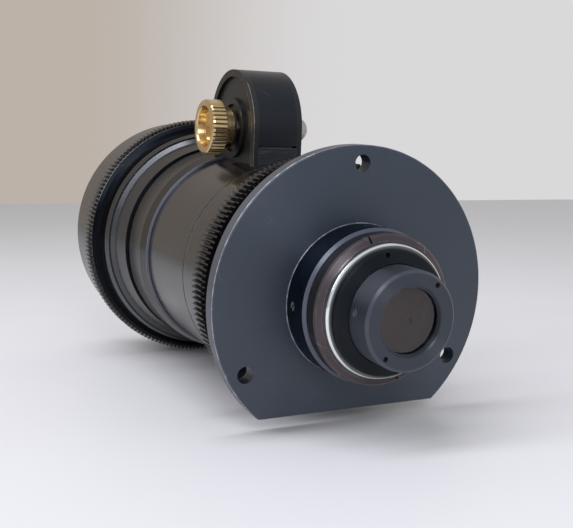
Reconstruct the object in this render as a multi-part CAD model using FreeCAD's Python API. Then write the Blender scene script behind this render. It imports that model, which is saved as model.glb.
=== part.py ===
import FreeCAD, Part
import math
import os

# Cine zoom lens, in millimetres.
# The lens axis is the Y axis, +Y points to the scene, +Z is up, towards the zoom gear case.
# The origin is the centre of the mounting flange's rear face.
# Radii are worked out from the flange, the rear tube, the barrel and the gear case.

# Driving sizes
FLANGE_R = 64.0
TUBE_R = 28.0
BARREL_R = 51.0
CASE_R = 29.1
CASE_WALL = 3.4
GEAR_MODULE = 0.8
PRESSURE_ANGLE = 20.0
ROOT_DEPTH = 1.25

# Clearances
RUNNING = 0.06
SEATED = 0.02
AXIAL_PLAY = 0.3
TOOTH_BACKLASH = 0.12

# How far a cutter runs past what it cuts
PAST = 1.0

# Mounting flange and hub
FLANGE_THICK = 7.2
FLANGE_EDGE = 0.6
FOOT_HEIGHT = FLANGE_R - 16.3
FLANGE_HOLE_CIRCLE_R = FLANGE_R - 7.5
FLANGE_HOLE_R = 3.6
FLANGE_HOLE_ANGLES = (90, 210, 330)
HUB_R = TUBE_R + 4.0
HUB_REAR = -14.8
HUB_CHAMFER = 1.0
HUB_FACE_R = HUB_R - 1.4
HUB_ROOT = 0.3
HUB_SCREW_Y = -4.9
HUB_SCREW_R = 2.0
HUB_SCREW_COUNT = 4
SET_SCREW_SUNK = 0.35

# Rear tube with its rings
TUBE_REAR = -22.6
TUBE_BORE_R = TUBE_R - 4.0
TUBE_SHOULDER = -16.0
CLAMP_R = TUBE_R + 3.0
CLAMP_NECK_R = TUBE_R + 1.4
CLAMP_NECK_REAR = -16.6
CLAMP_EDGE = -21.9
CLAMP_BEVEL = 0.8
CLAMP_FACE = -23.0
CLAMP_SLOT_WIDTH = 0.9
CLAMP_SLOT_DEPTH = 1.6
CLAMP_SLOT_ANGLE = -16.0
CLAMP_HOLE_R = 0.7
CLAMP_HOLE_CIRCLE_R = TUBE_R + 1.5
CHROME_R = TUBE_R - 0.7
CHROME_CROWN_Y = -24.3
CHROME_SHOULDER_R = TUBE_R - 0.9
CHROME_EDGE = -24.8
CHROME_FACE_R = TUBE_R - 1.8
CHROME_REAR = -25.8
LOCK_HEAD_R = TUBE_BORE_R + 1.5
LOCK_BEVEL = 0.6
LOCK_EDGE = -28.0
LOCK_FACE = -29.3
LOCK_INNER_EDGE = 0.4
LOCK_HOLE_CIRCLE_R = TUBE_BORE_R - 0.3
LOCK_HOLE_R = 1.05
LOCK_HOLE_ANGLE = -9.0

# Rear lens cell
CELL_R = TUBE_BORE_R - 4.1
CELL_REAR = -41.9
CELL_FRONT = -8.0
CELL_COLLAR_R = TUBE_BORE_R - 0.1
CELL_COLLAR_THICK = 3.6
CELL_EDGE = 1.0
CELL_BORE_R = CELL_R - 4.4
CELL_OPENING_R = CELL_BORE_R - 2.0
CELL_OPENING_EDGE = 0.6
CELL_LIP = 2.4
CELL_LIP_STEP = 0.5
CELL_FACE_HOLE_CIRCLE_R = CELL_BORE_R + 1.75
CELL_FACE_HOLE_R = 1.1
CELL_FACE_HOLE_ANGLE = 38.0
CELL_HOLE_DEPTH = 2.5
CELL_SCREW_Y = -32.4
CELL_SCREW_R = 1.7
CELL_SCREW_DEPTH = 3.0
CELL_SCREW_ANGLES = (-82, 38, 158)
REAR_GLASS_EDGE = 6.0
REAR_GLASS_SAG = 1.1
REAR_SPACER_LENGTH = 7.0
REAR_SPACER_R = CELL_BORE_R - 1.5
REAR_INNER_EDGE = 5.0
REAR_INNER_SAG = 1.5
REAR_LOCK_LENGTH = 4.0

# Rear body: neck under the iris ring, then the drum
NECK_R = BARREL_R - 5.1
NECK_BORE_R = NECK_R - 5.9
NECK_REAR_R = NECK_R - 1.9
NECK_COLLAR = 2.0
SHOULDER_Y = 31.6
SEAM_Y = 71.2
DRUM_R = BARREL_R - 0.1
DRUM_EDGE = 0.4
DRUM_BORE_R = BARREL_R - 8.0
TUBE_FORWARD = 11.5
REAR_BULKHEAD = 6.0
BULKHEAD_BORE_R = DRUM_BORE_R - 6.0

# Geared rings, cut with the fine pitch that lens drives use
IRIS_PITCH_R = NECK_R + 10.1
IRIS_TEETH = round(2 * IRIS_PITCH_R / GEAR_MODULE)
IRIS_REAR = 32.0
IRIS_FRONT = 43.6
IRIS_TOOTH_FRONT = 42.8
IRIS_TRAVEL = 60.0
TOOTH_HOOP = 2.0
IRIS_LIP_BELOW_ROOT = 1.0

# Iris
BLADE_COUNT = 8
BLADE_THICK = 0.3
BLADE_STEP = 0.5
PIVOT_CIRCLE_R = DRUM_BORE_R - 9.4
PIN_CIRCLE_R = PIVOT_CIRCLE_R + 0.6
BLADE_OUTER_R = PIVOT_CIRCLE_R - 2.6
BLADE_INNER_R = BLADE_OUTER_R - 9.0
BLADE_SWEEP = 112.0
BLADE_TURN = 32.0
PIN_ANGLE = 13.5
PIN_R = 0.9
EAR_R = 2.2
PIN_ROOM = 0.15
PIN_SHORT = 0.2
BLADE_ROOT_DEPTH = 3.0
CAM_REAR = 34.0
CAM_PLATE_REAR = 50.2
CAM_PLATE_FRONT = 51.7
CAM_SKIRT_R = NECK_BORE_R - 3.0
CAM_PLATE_INNER_R = BLADE_OUTER_R - 0.5
CAM_PLATE_SHY = 0.3
CAM_PLATE_LIFT = 0.1
BLADES_REAR = 51.9
PIVOT_PLATE_REAR = 56.2
PIVOT_PLATE_FRONT = 58.2
PIVOT_PLATE_INNER_R = BLADE_INNER_R + 0.5
DRIVE_SCREW_Y = 37.8
DRIVE_SCREW_R = 1.5
DRIVE_SCREW_ROOM = 0.3
DRIVE_SCREW_INNER_R = NECK_BORE_R - 2.06
DRIVE_SCREW_LENGTH = 11.9

# Main barrel
BARREL_BORE_R = BARREL_R - 5.0
STEP_Y = 124.0
STEP_R = BARREL_R + 1.5
CONE_Y = 129.4
FIXED_RING_R = BARREL_R + 3.3
FIXED_RING_FRONT = 148.5
GAP_FLOOR_R = BARREL_R + 0.6
GAP_FRONT = 153.3
NOSE_R = BARREL_R - 0.5
NOSE_BORE_R = NOSE_R - 4.0
NOSE_FRONT = 172.0
SPIGOT_LENGTH = 5.0
ROD_PLATE_REAR = 153.0
ROD_PLATE_THICK = 4.0
ROD_R = 2.0
PINION_SLOT_LENGTH = 43.0
PINION_SLOT_WIDTH = 7.0

# Zoom drive
SHAFT_Y = 110.4
SHAFT_Z = BARREL_R + 15.6
SHAFT_R = 4.0
SHAFT_END_R = 3.0
SHAFT_END = 2.4
PINION_MODULE = 1.5
PINION_ROOM = 1.7
PINION_PITCH_R = CASE_R - CASE_WALL - PINION_ROOM - PINION_MODULE
PINION_TEETH = round(2 * PINION_PITCH_R / PINION_MODULE)
PINION_WIDTH = 4.0
PINION_FLANK_STEPS = 3
RACK_TEETH = 9
RACK_WIDTH = 5.0
RACK_ROOM = 0.6
ZOOM_TRAVEL = 40.0
CARRIAGE_R = BARREL_BORE_R - 1.4
CARRIAGE_BORE_R = CARRIAGE_R - 11.6
CARRIAGE_SHOULDER_R = CARRIAGE_BORE_R - 2.5
CARRIAGE_LENGTH = 24.0
CARRIAGE_SHOULDER = 4.0
ROD_CIRCLE_R = CARRIAGE_R - 4.1
RACK_BASE_Z = CARRIAGE_R - 4.2
RACK_SCREW_R = 1.0
RACK_SCREW_SUNK = 3.0
RACK_SCREW_LENGTH = 4.2
RACK_SCREW_SPACING = 16.0
ZOOM_GLASS_EDGE = 5.0
ZOOM_GLASS_SAG = 3.0
ZOOM_GLASS_INNER_SAG = 1.2
CARRIAGE_RING_LENGTH = 3.0

# Gear case on top of the barrel
CASE_HALF_WIDTH = 12.8
COVER_THICK = 2.7
BASE_TOP = SHAFT_Z - 7.4
BASE_GROOVE = 1.0
BASE_GROOVE_DEPTH = 1.6
CASE_FOOT = BARREL_R - 6.0
COVER_RIM = 3.5
COVER_RECESS = 1.6
BOSS_R = 15.0
BOSS_WELL_R = 12.0
BOSS_WELL_DEPTH = 1.4
BUSH_R = 6.0
BUSH_LENGTH = 7.0

# Zoom knob and dome nut
KNOB_COLLAR_R = 10.3
KNOB_COLLAR_START = 13.4
KNOB_COLLAR_ROUND = 1.6
KNOB_RIM_START = 19.8
KNOB_RIM_END = 27.8
KNOB_RIM_R = 13.8
KNOB_CUP_R = 9.9
KNOB_CUP_DEPTH = 4.6
KNOB_CUP_FLOOR_R = 9.0
KNOB_CUP_EDGE = 0.7
KNOB_CUP_FLOOR = 1.6
KNOB_EDGE = 0.5
KNOB_LIP = 1.2
KNOB_LIP_ROUND = 0.35
KNOB_KNURLS = 40
KNURL_DEPTH = 0.7
KNURL_SHARE = 0.55
KNURL_OVER = 0.1
NUT_R = 5.8
NUT_BASE = 13.2
NUT_DOME = 3.4

# Focus ring
SLEEVE_REAR = 153.6
SLEEVE_R = NOSE_R + 4.6
SLEEVE_FLARE_Y = 165.0
SLEEVE_FLARE_R = NOSE_R + 7.1
BAND_ONE_Y = 167.2
BAND_ONE_R = NOSE_R + 9.2
BAND_GROOVE_R = NOSE_R + 8.9
BAND_GROOVE = 0.5
BAND_TWO_R = NOSE_R + 10.1
BAND_END_Y = 171.5
BAND_END_R = NOSE_R + 11.6
FOCUS_FACE_Y = 178.1
FACE_FILLET = 3.2
PLAIN_BAND_R = NOSE_R + 15.4
FOCUS_PITCH_R = PLAIN_BAND_R + 2.1
FOCUS_TEETH = round(2 * FOCUS_PITCH_R / GEAR_MODULE)
FOCUS_TOOTH_REAR = 180.4
FOCUS_TOOTH_FRONT = 190.7
FOCUS_FRONT = 221.8
FOCUS_EDGE = 1.5
FOCUS_RIM_R = PLAIN_BAND_R - 1.2
FOCUS_BORE_R = NOSE_R + 11.0
FOCUS_WEB_FRONT = 176.4
FOCUS_LIP_R = FOCUS_BORE_R + 1.1
FOCUS_LIP = 1.2
FOCUS_TRAVEL = 4.0
RETAINER_R = NOSE_R + 4.5
RETAINER_THICK = 2.2
RETAINER_BORE_R = NOSE_BORE_R - 0.9
RETAINER_ROOM_R = RETAINER_R + 1.0
KEY_PIN_R = 2.0
KEY_PIN_CIRCLE_R = NOSE_R - 2.2

# Front cell
FRONT_CELL_REAR = 180.0
FRONT_CELL_FRONT = 216.0
FRONT_CELL_FLANGE = 4.0
FRONT_CELL_FLANGE_R = KEY_PIN_CIRCLE_R - 5.3
KEY_PIN_FRONT = FRONT_CELL_REAR + FRONT_CELL_FLANGE + FOCUS_TRAVEL
FRONT_CELL_STEP_Y = 188.0
FRONT_GLASS_R = FOCUS_BORE_R - 4.5
FRONT_CELL_STEP_R = FRONT_GLASS_R - 4.5
FRONT_INNER_EDGE = 4.0
FRONT_INNER_SAG = 3.5
FRONT_SPACER_LENGTH = 6.0
FRONT_SPACER_R = FRONT_GLASS_R - 2.5
FRONT_GLASS_EDGE = 5.0
FRONT_GLASS_SAG = 7.5
FRONT_GLASS_REAR_SAG = 2.0
FRONT_RING_LENGTH = 6.0
FRONT_RING_R = FRONT_GLASS_R - 3.0
FRONT_RING_FACE_R = FRONT_GLASS_R - 1.5

AXIS = FreeCAD.Vector(0, 1, 0)
ORIGIN = FreeCAD.Vector(0, 0, 0)
SIDE = FreeCAD.Vector(1, 0, 0)
UP = FreeCAD.Vector(0, 0, 1)


# Small building steps

def turned(points):
    """A solid turned about the lens axis from (y, radius) corners."""
    corners = [FreeCAD.Vector(0, y, r) for y, r in points]
    outline = Part.makePolygon(corners + corners[:1])
    return Part.Face(outline).revolve(ORIGIN, AXIS, 360)


def tube(inner, outer, rear, front):
    """A plain tube on the lens axis."""
    return turned([(rear, inner), (rear, outer), (front, outer), (front, inner)])


def rod(radius, start, direction, length):
    """A round bar that starts at a point and runs along a direction."""
    return Part.makeCylinder(radius, length, start, direction)


def on_axis_circle(radius, angle, y):
    """A point round the lens axis; the angle runs from +X towards +Z."""
    turn = math.radians(angle)
    return FreeCAD.Vector(radius * math.cos(turn), y, radius * math.sin(turn))


def round_from_top(angle):
    """Changes an angle from +Z towards +X into one from +X towards +Z."""
    return 90 - angle


def block(x, y, z):
    """A box from three (low, high) pairs."""
    corner = FreeCAD.Vector(x[0], y[0], z[0])
    return Part.makeBox(x[1] - x[0], y[1] - y[0], z[1] - z[0], corner)


def joined(shapes):
    """One group of separate solids."""
    return Part.makeCompound(shapes)


def lens_face(radius, edge_y, sag):
    """The arc from the axis to a lens edge, bulging by the sag along +Y."""
    middle = FreeCAD.Vector(0, edge_y + sag, 0)
    rim = FreeCAD.Vector(0, edge_y, radius)
    bend = (radius ** 2 + sag ** 2) / (2 * sag)
    half = math.asin(radius / abs(bend)) / 2
    reach = abs(bend) * (1 - math.cos(half))
    way = 1 if sag > 0 else -1
    between = FreeCAD.Vector(0, edge_y + sag - way * reach, abs(bend) * math.sin(half))
    return Part.Arc(middle, between, rim).toShape()


def glass(radius, rear, edge, rear_sag, front_sag):
    """A lens element with an edge cylinder and two spherical faces."""
    front = rear + edge
    rear_arc = lens_face(radius, rear, rear_sag)
    front_arc = lens_face(radius, front, front_sag)
    side = Part.makeLine(FreeCAD.Vector(0, rear, radius), FreeCAD.Vector(0, front, radius))
    centre = Part.makeLine(
        FreeCAD.Vector(0, front + front_sag, 0), FreeCAD.Vector(0, rear + rear_sag, 0))
    outline = Part.Wire(Part.__sortEdges__([rear_arc, side, front_arc, centre]))
    return Part.Face(outline).revolve(ORIGIN, AXIS, 360)


def rise(radius, sag, at):
    """How far a spherical face stands above its edge at a smaller radius."""
    bend = (radius ** 2 + sag ** 2) / (2 * sag)
    return math.sqrt(bend ** 2 - at ** 2) - (bend - sag)


def involute(base, radius):
    """The polar angle of the involute of a base circle at a radius."""
    slope = math.acos(min(1.0, base / radius))
    return math.tan(slope) - slope


def gear_points(teeth, module, flank_steps):
    """The outline of a spur gear as (radius, angle) corners, tooth by tooth."""
    pitch = teeth * module / 2
    base = pitch * math.cos(math.radians(PRESSURE_ANGLE))
    tip = pitch + module
    root = pitch - ROOT_DEPTH * module
    half = (math.pi * module / 2 - TOOTH_BACKLASH) / (2 * pitch) + involute(base, pitch)
    low = max(root, base)
    radii = [low + (tip - low) * step / flank_steps for step in range(flank_steps + 1)]
    flank = [(r, half - involute(base, r)) for r in radii]
    if root < low:
        flank.insert(0, (root, flank[0][1]))
    points = []
    for tooth in range(teeth):
        middle = 2 * math.pi * tooth / teeth
        points += [(r, middle - turn) for r, turn in flank]
        points += [(r, middle + turn) for r, turn in reversed(flank)]
    return points


def toothed_band(teeth, bore, rear, front):
    """A ring of fine teeth on the lens axis."""
    flats = gear_points(teeth, GEAR_MODULE, 1)
    corners = [FreeCAD.Vector(r * math.cos(turn), rear, r * math.sin(turn)) for r, turn in flats]
    outline = Part.makePolygon(corners + corners[:1])
    hole = Part.Wire(Part.makeCircle(bore, FreeCAD.Vector(0, rear, 0), AXIS))
    band = Part.Face([outline, hole], "Part::FaceMakerBullseye")
    return band.extrude(FreeCAD.Vector(0, front - rear, 0))


def root_radius(teeth):
    """The root radius of a ring with the fine pitch."""
    return teeth * GEAR_MODULE / 2 - ROOT_DEPTH * GEAR_MODULE


# Mounting flange and the rings behind it

def mounting_flange():
    """Flange and hub in one turning, with a flat foot and three holes."""
    body = turned([
        (FLANGE_THICK, TUBE_R + SEATED),
        (FLANGE_THICK, FLANGE_R - FLANGE_EDGE),
        (FLANGE_THICK - FLANGE_EDGE, FLANGE_R),
        (FLANGE_EDGE, FLANGE_R),
        (0, FLANGE_R - FLANGE_EDGE),
        (0, HUB_R + HUB_ROOT),
        (-HUB_ROOT, HUB_R),
        (HUB_REAR + HUB_CHAMFER, HUB_R),
        (HUB_REAR, HUB_FACE_R),
        (HUB_REAR, TUBE_R + SEATED),
    ])
    foot = block((-FLANGE_R, FLANGE_R), (0, FLANGE_THICK), (-FLANGE_R - PAST, -FOOT_HEIGHT))
    body = body.cut(foot)
    for angle in FLANGE_HOLE_ANGLES:
        start = on_axis_circle(FLANGE_HOLE_CIRCLE_R, angle, -1)
        body = body.cut(rod(FLANGE_HOLE_R, start, AXIS, FLANGE_THICK + 2 * PAST))
    for start, way in hub_screw_places():
        body = body.cut(rod(HUB_SCREW_R, start - way * HUB_SCREW_R, way, HUB_R))
    return body


def hub_screw_places():
    """Where each hub screw starts and which way it points outwards."""
    places = []
    for number in range(HUB_SCREW_COUNT):
        way = on_axis_circle(1, 90 + number * 360 / HUB_SCREW_COUNT, 0)
        places.append((way * (TUBE_R + SEATED) + AXIS * HUB_SCREW_Y, way))
    return places


def flange_set_screws():
    """Four screws that clamp the hub to the rear tube."""
    length = HUB_R - SET_SCREW_SUNK - TUBE_R - SEATED
    return joined([rod(HUB_SCREW_R - SEATED, start, way, length) for start, way in hub_screw_places()])


def clamp_ring():
    """The bronze ring that holds the flange, with a spanner slot and a hole in its rear face."""
    body = turned([
        (HUB_REAR, TUBE_R + SEATED),
        (HUB_REAR, CLAMP_NECK_R),
        (CLAMP_NECK_REAR, CLAMP_NECK_R),
        (CLAMP_NECK_REAR, CLAMP_R),
        (CLAMP_EDGE + CLAMP_BEVEL, CLAMP_R),
        (CLAMP_EDGE, CLAMP_R - CLAMP_BEVEL),
        (CLAMP_FACE, TUBE_R + SEATED),
    ])
    half = CLAMP_SLOT_WIDTH / 2
    along = (CLAMP_FACE - PAST, CLAMP_EDGE + CLAMP_SLOT_DEPTH)
    slot = block((-half, half), along, (TUBE_R - PAST, CLAMP_R + PAST))
    slot.rotate(ORIGIN, AXIS, CLAMP_SLOT_ANGLE)
    angle = round_from_top(CLAMP_SLOT_ANGLE + 180)
    start = on_axis_circle(CLAMP_HOLE_CIRCLE_R, angle, CLAMP_FACE - PAST)
    return body.cut(slot).cut(rod(CLAMP_HOLE_R, start, AXIS, CLAMP_SLOT_DEPTH + 2 * PAST))


def chrome_ring():
    """The polished ring on the end of the rear tube."""
    return turned([
        (TUBE_REAR, TUBE_BORE_R + SEATED),
        (TUBE_REAR, CHROME_SHOULDER_R),
        (CHROME_CROWN_Y, CHROME_R),
        (CHROME_EDGE, CHROME_SHOULDER_R),
        (CHROME_REAR, CHROME_FACE_R),
        (CHROME_REAR, TUBE_BORE_R + SEATED),
    ])


def cell_lock_ring():
    """The ring that screws into the rear tube and holds the lens cell by its collar."""
    collar_rear = TUBE_SHOULDER - CELL_COLLAR_THICK
    body = turned([
        (collar_rear, CELL_R + SEATED),
        (collar_rear, TUBE_BORE_R),
        (CHROME_REAR, TUBE_BORE_R),
        (CHROME_REAR, LOCK_HEAD_R),
        (LOCK_EDGE + LOCK_BEVEL, LOCK_HEAD_R),
        (LOCK_EDGE, LOCK_HEAD_R - LOCK_BEVEL),
        (LOCK_FACE, CELL_R + LOCK_INNER_EDGE),
        (LOCK_FACE + LOCK_INNER_EDGE, CELL_R + SEATED),
    ])
    for turn in (0, 180):
        angle = round_from_top(LOCK_HOLE_ANGLE + turn)
        start = on_axis_circle(LOCK_HOLE_CIRCLE_R, angle, LOCK_FACE - PAST)
        body = body.cut(rod(LOCK_HOLE_R, start, AXIS, CELL_HOLE_DEPTH + PAST))
    return body


def rear_lens_cell():
    """The turned cell that carries the rear glass."""
    rear_glass = CELL_REAR + CELL_LIP
    body = turned([
        (CELL_REAR, CELL_OPENING_R + CELL_OPENING_EDGE),
        (CELL_REAR, CELL_R - CELL_EDGE),
        (CELL_REAR + CELL_EDGE, CELL_R),
        (TUBE_SHOULDER - CELL_COLLAR_THICK, CELL_R),
        (TUBE_SHOULDER - CELL_COLLAR_THICK, CELL_COLLAR_R),
        (TUBE_SHOULDER, CELL_COLLAR_R),
        (TUBE_SHOULDER, CELL_R),
        (CELL_FRONT, CELL_R),
        (CELL_FRONT, CELL_BORE_R),
        (rear_glass, CELL_BORE_R),
        (rear_glass, CELL_OPENING_R - CELL_LIP_STEP),
        (CELL_REAR + CELL_LIP / 2, CELL_OPENING_R - CELL_LIP_STEP),
        (CELL_REAR + CELL_LIP / 2, CELL_OPENING_R),
        (CELL_REAR + CELL_OPENING_EDGE, CELL_OPENING_R),
    ])
    for turn in (0, 180):
        angle = round_from_top(CELL_FACE_HOLE_ANGLE + turn)
        start = on_axis_circle(CELL_FACE_HOLE_CIRCLE_R, angle, CELL_REAR - PAST)
        body = body.cut(rod(CELL_FACE_HOLE_R, start, AXIS, CELL_HOLE_DEPTH + PAST))
    for start, way in cell_screw_places():
        body = body.cut(rod(CELL_SCREW_R, start, way, CELL_R))
    return body


def cell_screw_places():
    """Where each cell screw starts and which way it points outwards."""
    places = []
    for angle in CELL_SCREW_ANGLES:
        way = on_axis_circle(1, round_from_top(angle), 0)
        places.append((way * (CELL_R - CELL_SCREW_DEPTH) + AXIS * CELL_SCREW_Y, way))
    return places


def cell_set_screws():
    """Three small screws in the side of the rear cell."""
    length = CELL_SCREW_DEPTH - SET_SCREW_SUNK
    return joined([rod(CELL_SCREW_R - SEATED, start, way, length) for start, way in cell_screw_places()])


def rear_stack():
    """The glass, spacer and lock ring inside the rear cell, from the back forwards."""
    radius = CELL_BORE_R - SEATED
    lip = CELL_OPENING_R - CELL_LIP_STEP
    place = CELL_REAR + CELL_LIP + rise(radius, REAR_GLASS_SAG, lip) + SEATED
    pieces = {"rear_element": glass(radius, place, REAR_GLASS_EDGE, -REAR_GLASS_SAG, REAR_GLASS_SAG)}
    place += REAR_GLASS_EDGE + rise(radius, REAR_GLASS_SAG, REAR_SPACER_R) + SEATED
    pieces["rear_spacer"] = tube(REAR_SPACER_R, radius, place, place + REAR_SPACER_LENGTH)
    place += REAR_SPACER_LENGTH + rise(radius, REAR_INNER_SAG, REAR_SPACER_R) + SEATED
    pieces["rear_inner_element"] = glass(radius, place, REAR_INNER_EDGE, -REAR_INNER_SAG, REAR_INNER_SAG)
    place += REAR_INNER_EDGE + rise(radius, REAR_INNER_SAG, REAR_SPACER_R) + SEATED
    pieces["rear_inner_lock_ring"] = tube(REAR_SPACER_R, radius, place, place + REAR_LOCK_LENGTH)
    return pieces


# Rear body and iris

def rear_body():
    """Rear tube, neck under the iris ring and drum, turned in one piece."""
    body = turned([
        (TUBE_REAR, TUBE_BORE_R),
        (TUBE_REAR, TUBE_R),
        (FLANGE_THICK, TUBE_R),
        (FLANGE_THICK, NECK_REAR_R),
        (SHOULDER_Y - NECK_COLLAR, NECK_REAR_R),
        (SHOULDER_Y - NECK_COLLAR, NECK_R),
        (IRIS_FRONT + AXIAL_PLAY, NECK_R),
        (IRIS_FRONT + AXIAL_PLAY, DRUM_R - DRUM_EDGE),
        (IRIS_FRONT + AXIAL_PLAY + DRUM_EDGE, DRUM_R),
        (SEAM_Y, DRUM_R),
        (SEAM_Y, BARREL_BORE_R),
        (SEAM_Y + SPIGOT_LENGTH, BARREL_BORE_R),
        (SEAM_Y + SPIGOT_LENGTH, BULKHEAD_BORE_R),
        (SEAM_Y + SPIGOT_LENGTH - REAR_BULKHEAD, BULKHEAD_BORE_R),
        (SEAM_Y + SPIGOT_LENGTH - REAR_BULKHEAD, DRUM_BORE_R),
        (CAM_PLATE_REAR, DRUM_BORE_R),
        (CAM_PLATE_REAR, NECK_BORE_R),
        (CAM_REAR - AXIAL_PLAY, NECK_BORE_R),
        (CAM_REAR - AXIAL_PLAY, CAM_SKIRT_R),
        (TUBE_FORWARD, CAM_SKIRT_R),
        (TUBE_FORWARD, CELL_R + SEATED),
        (TUBE_SHOULDER, CELL_R + SEATED),
        (TUBE_SHOULDER, TUBE_BORE_R),
    ])
    body = body.cut(drive_screw_slot())
    for rod_hole in guide_rod_bars():
        body = body.cut(rod_hole)
    return body.cut(rack_notch())


def rack_notch():
    """The notch in the bulkhead that lets the rack run to the rear."""
    half = RACK_WIDTH / 2 + RACK_ROOM
    rear = SHAFT_Y - RACK_TEETH * math.pi * PINION_MODULE / 2 - ZOOM_TRAVEL / 2 - RACK_ROOM
    front = SEAM_Y + SPIGOT_LENGTH + PAST
    return block((-half, half), (rear, front), (BULKHEAD_BORE_R - 2 * PAST, BARREL_BORE_R))


def drive_screw_slot():
    """The slot in the neck that lets the iris drive screw travel round."""
    half = DRIVE_SCREW_R + DRIVE_SCREW_ROOM
    spare = math.degrees(half / NECK_BORE_R)
    start = FreeCAD.Vector(0, DRIVE_SCREW_Y - half, NECK_BORE_R - PAST)
    through = FreeCAD.Vector(0, 0, NECK_R - NECK_BORE_R + 2 * PAST)
    corners = [start, start + AXIS * 2 * half]
    corners += [corners[1] + through, corners[0] + through]
    face = Part.Face(Part.makePolygon(corners + corners[:1]))
    slot = face.revolve(ORIGIN, AXIS, IRIS_TRAVEL + 2 * spare)
    slot.rotate(ORIGIN, AXIS, -spare)
    return slot


def iris_gear_ring():
    """The toothed ring that the hand or a drive turns to set the aperture."""
    bore = NECK_R + RUNNING
    root = root_radius(IRIS_TEETH)
    seat = root - TOOTH_HOOP
    teeth = toothed_band(IRIS_TEETH, seat, IRIS_REAR, IRIS_TOOTH_FRONT)
    hoop = turned([
        (IRIS_REAR, bore),
        (IRIS_REAR, seat),
        (IRIS_TOOTH_FRONT, seat),
        (IRIS_TOOTH_FRONT, root - IRIS_LIP_BELOW_ROOT),
        (IRIS_FRONT, root - IRIS_LIP_BELOW_ROOT),
        (IRIS_FRONT, bore),
    ])
    ring = teeth.fuse(hoop).removeSplitter()
    return ring.cut(drive_screw_bar())


def drive_screw_bar():
    """The shank of the screw that joins the gear ring to the cam ring."""
    start = FreeCAD.Vector(0, DRIVE_SCREW_Y, DRIVE_SCREW_INNER_R)
    return rod(DRIVE_SCREW_R, start, UP, DRIVE_SCREW_LENGTH)


def iris_cam_ring():
    """The inner ring with one slot for each blade pin."""
    outer = NECK_BORE_R - RUNNING
    body = turned([
        (CAM_REAR, CAM_SKIRT_R),
        (CAM_REAR, outer),
        (CAM_PLATE_REAR + CAM_PLATE_LIFT, outer),
        (CAM_PLATE_REAR + CAM_PLATE_LIFT, DRUM_BORE_R - CAM_PLATE_SHY),
        (CAM_PLATE_FRONT, DRUM_BORE_R - CAM_PLATE_SHY),
        (CAM_PLATE_FRONT, CAM_PLATE_INNER_R),
        (CAM_PLATE_REAR, CAM_PLATE_INNER_R),
        (CAM_PLATE_REAR, CAM_SKIRT_R),
    ])
    slot = cam_slot()
    for number in range(BLADE_COUNT):
        cutter = slot.copy()
        cutter.rotate(ORIGIN, AXIS, 360 * number / BLADE_COUNT)
        body = body.cut(cutter)
    return body.cut(drive_screw_bar())


def pin_path():
    """The drive pin's places in the cam ring's own frame: at rest, half way and at the end."""
    pivot = on_axis_circle(PIVOT_CIRCLE_R, 0, 0)
    rest = on_axis_circle(PIN_CIRCLE_R, PIN_ANGLE, 0)
    path = []
    for share in (0, 0.5, 1):
        blade = FreeCAD.Rotation(AXIS, BLADE_TURN * share)
        ring = FreeCAD.Rotation(AXIS, -IRIS_TRAVEL * share)
        path.append(ring.multVec(pivot + blade.multVec(rest - pivot)))
    return path


def cam_slot():
    """The curved slot for one blade pin, with round ends."""
    width = PIN_R + PIN_ROOM
    path = [point + AXIS * (CAM_PLATE_REAR - PAST) for point in pin_path()]
    centre = Part.Arc(*path).toShape().Curve.Center
    outwards = [(point - centre).normalize() * width for point in path]
    outer = [point + step for point, step in zip(path, outwards)]
    inner = [point - step for point, step in zip(path, outwards)]
    first_end = path[0] + (path[0] - path[1]).normalize() * width
    last_end = path[2] + (path[2] - path[1]).normalize() * width
    edges = [
        Part.Arc(*outer).toShape(),
        Part.Arc(outer[2], last_end, inner[2]).toShape(),
        Part.Arc(inner[2], inner[1], inner[0]).toShape(),
        Part.Arc(inner[0], first_end, outer[0]).toShape(),
    ]
    return Part.Face(Part.Wire(edges)).extrude(AXIS * (CAM_PLATE_FRONT - CAM_PLATE_REAR + 2 * PAST))


def blade_outline():
    """One blade, wide open, as a flat crescent in the plane y = 0 that starts at the pivot."""
    outer = crescent_arc(BLADE_OUTER_R)
    inner = crescent_arc(BLADE_INNER_R)
    ends = zip(outer[::2], inner[::2])
    sides = [Part.makeLine(a, b) for a, b in ends]
    edges = [Part.Arc(*outer).toShape(), sides[1], Part.Arc(*inner).toShape(), sides[0]]
    return Part.Face(Part.Wire(Part.__sortEdges__(edges)))


def crescent_arc(radius):
    """Three points along a blade's edge."""
    return [on_axis_circle(radius, -BLADE_SWEEP * share, 0) for share in (0, 0.5, 1)]


def iris_blade():
    """One blade with its pivot pin and its drive pin, for the first place round the axis."""
    pivot = on_axis_circle(PIVOT_CIRCLE_R, 0, 0)
    pin = on_axis_circle(PIN_CIRCLE_R, PIN_ANGLE, 0)
    blade = blade_outline().extrude(AXIS * BLADE_THICK)
    ears = [rod(EAR_R, pivot, AXIS, BLADE_THICK), rod(EAR_R, pin, AXIS, BLADE_THICK)]
    along = (pin - pivot).normalize()
    across = along.cross(AXIS) * EAR_R
    inward = on_axis_circle(BLADE_OUTER_R - BLADE_ROOT_DEPTH, 0, 0)
    corners = [pivot + across, pin + across, pin - across, pivot - across]
    web = Part.Face(Part.makePolygon(corners + corners[:1])).extrude(AXIS * BLADE_THICK)
    root = block((inward.x, pivot.x), (0, BLADE_THICK), (-PIN_SHORT, EAR_R))
    return blade.fuse(ears + [web, root]).removeSplitter()


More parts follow.
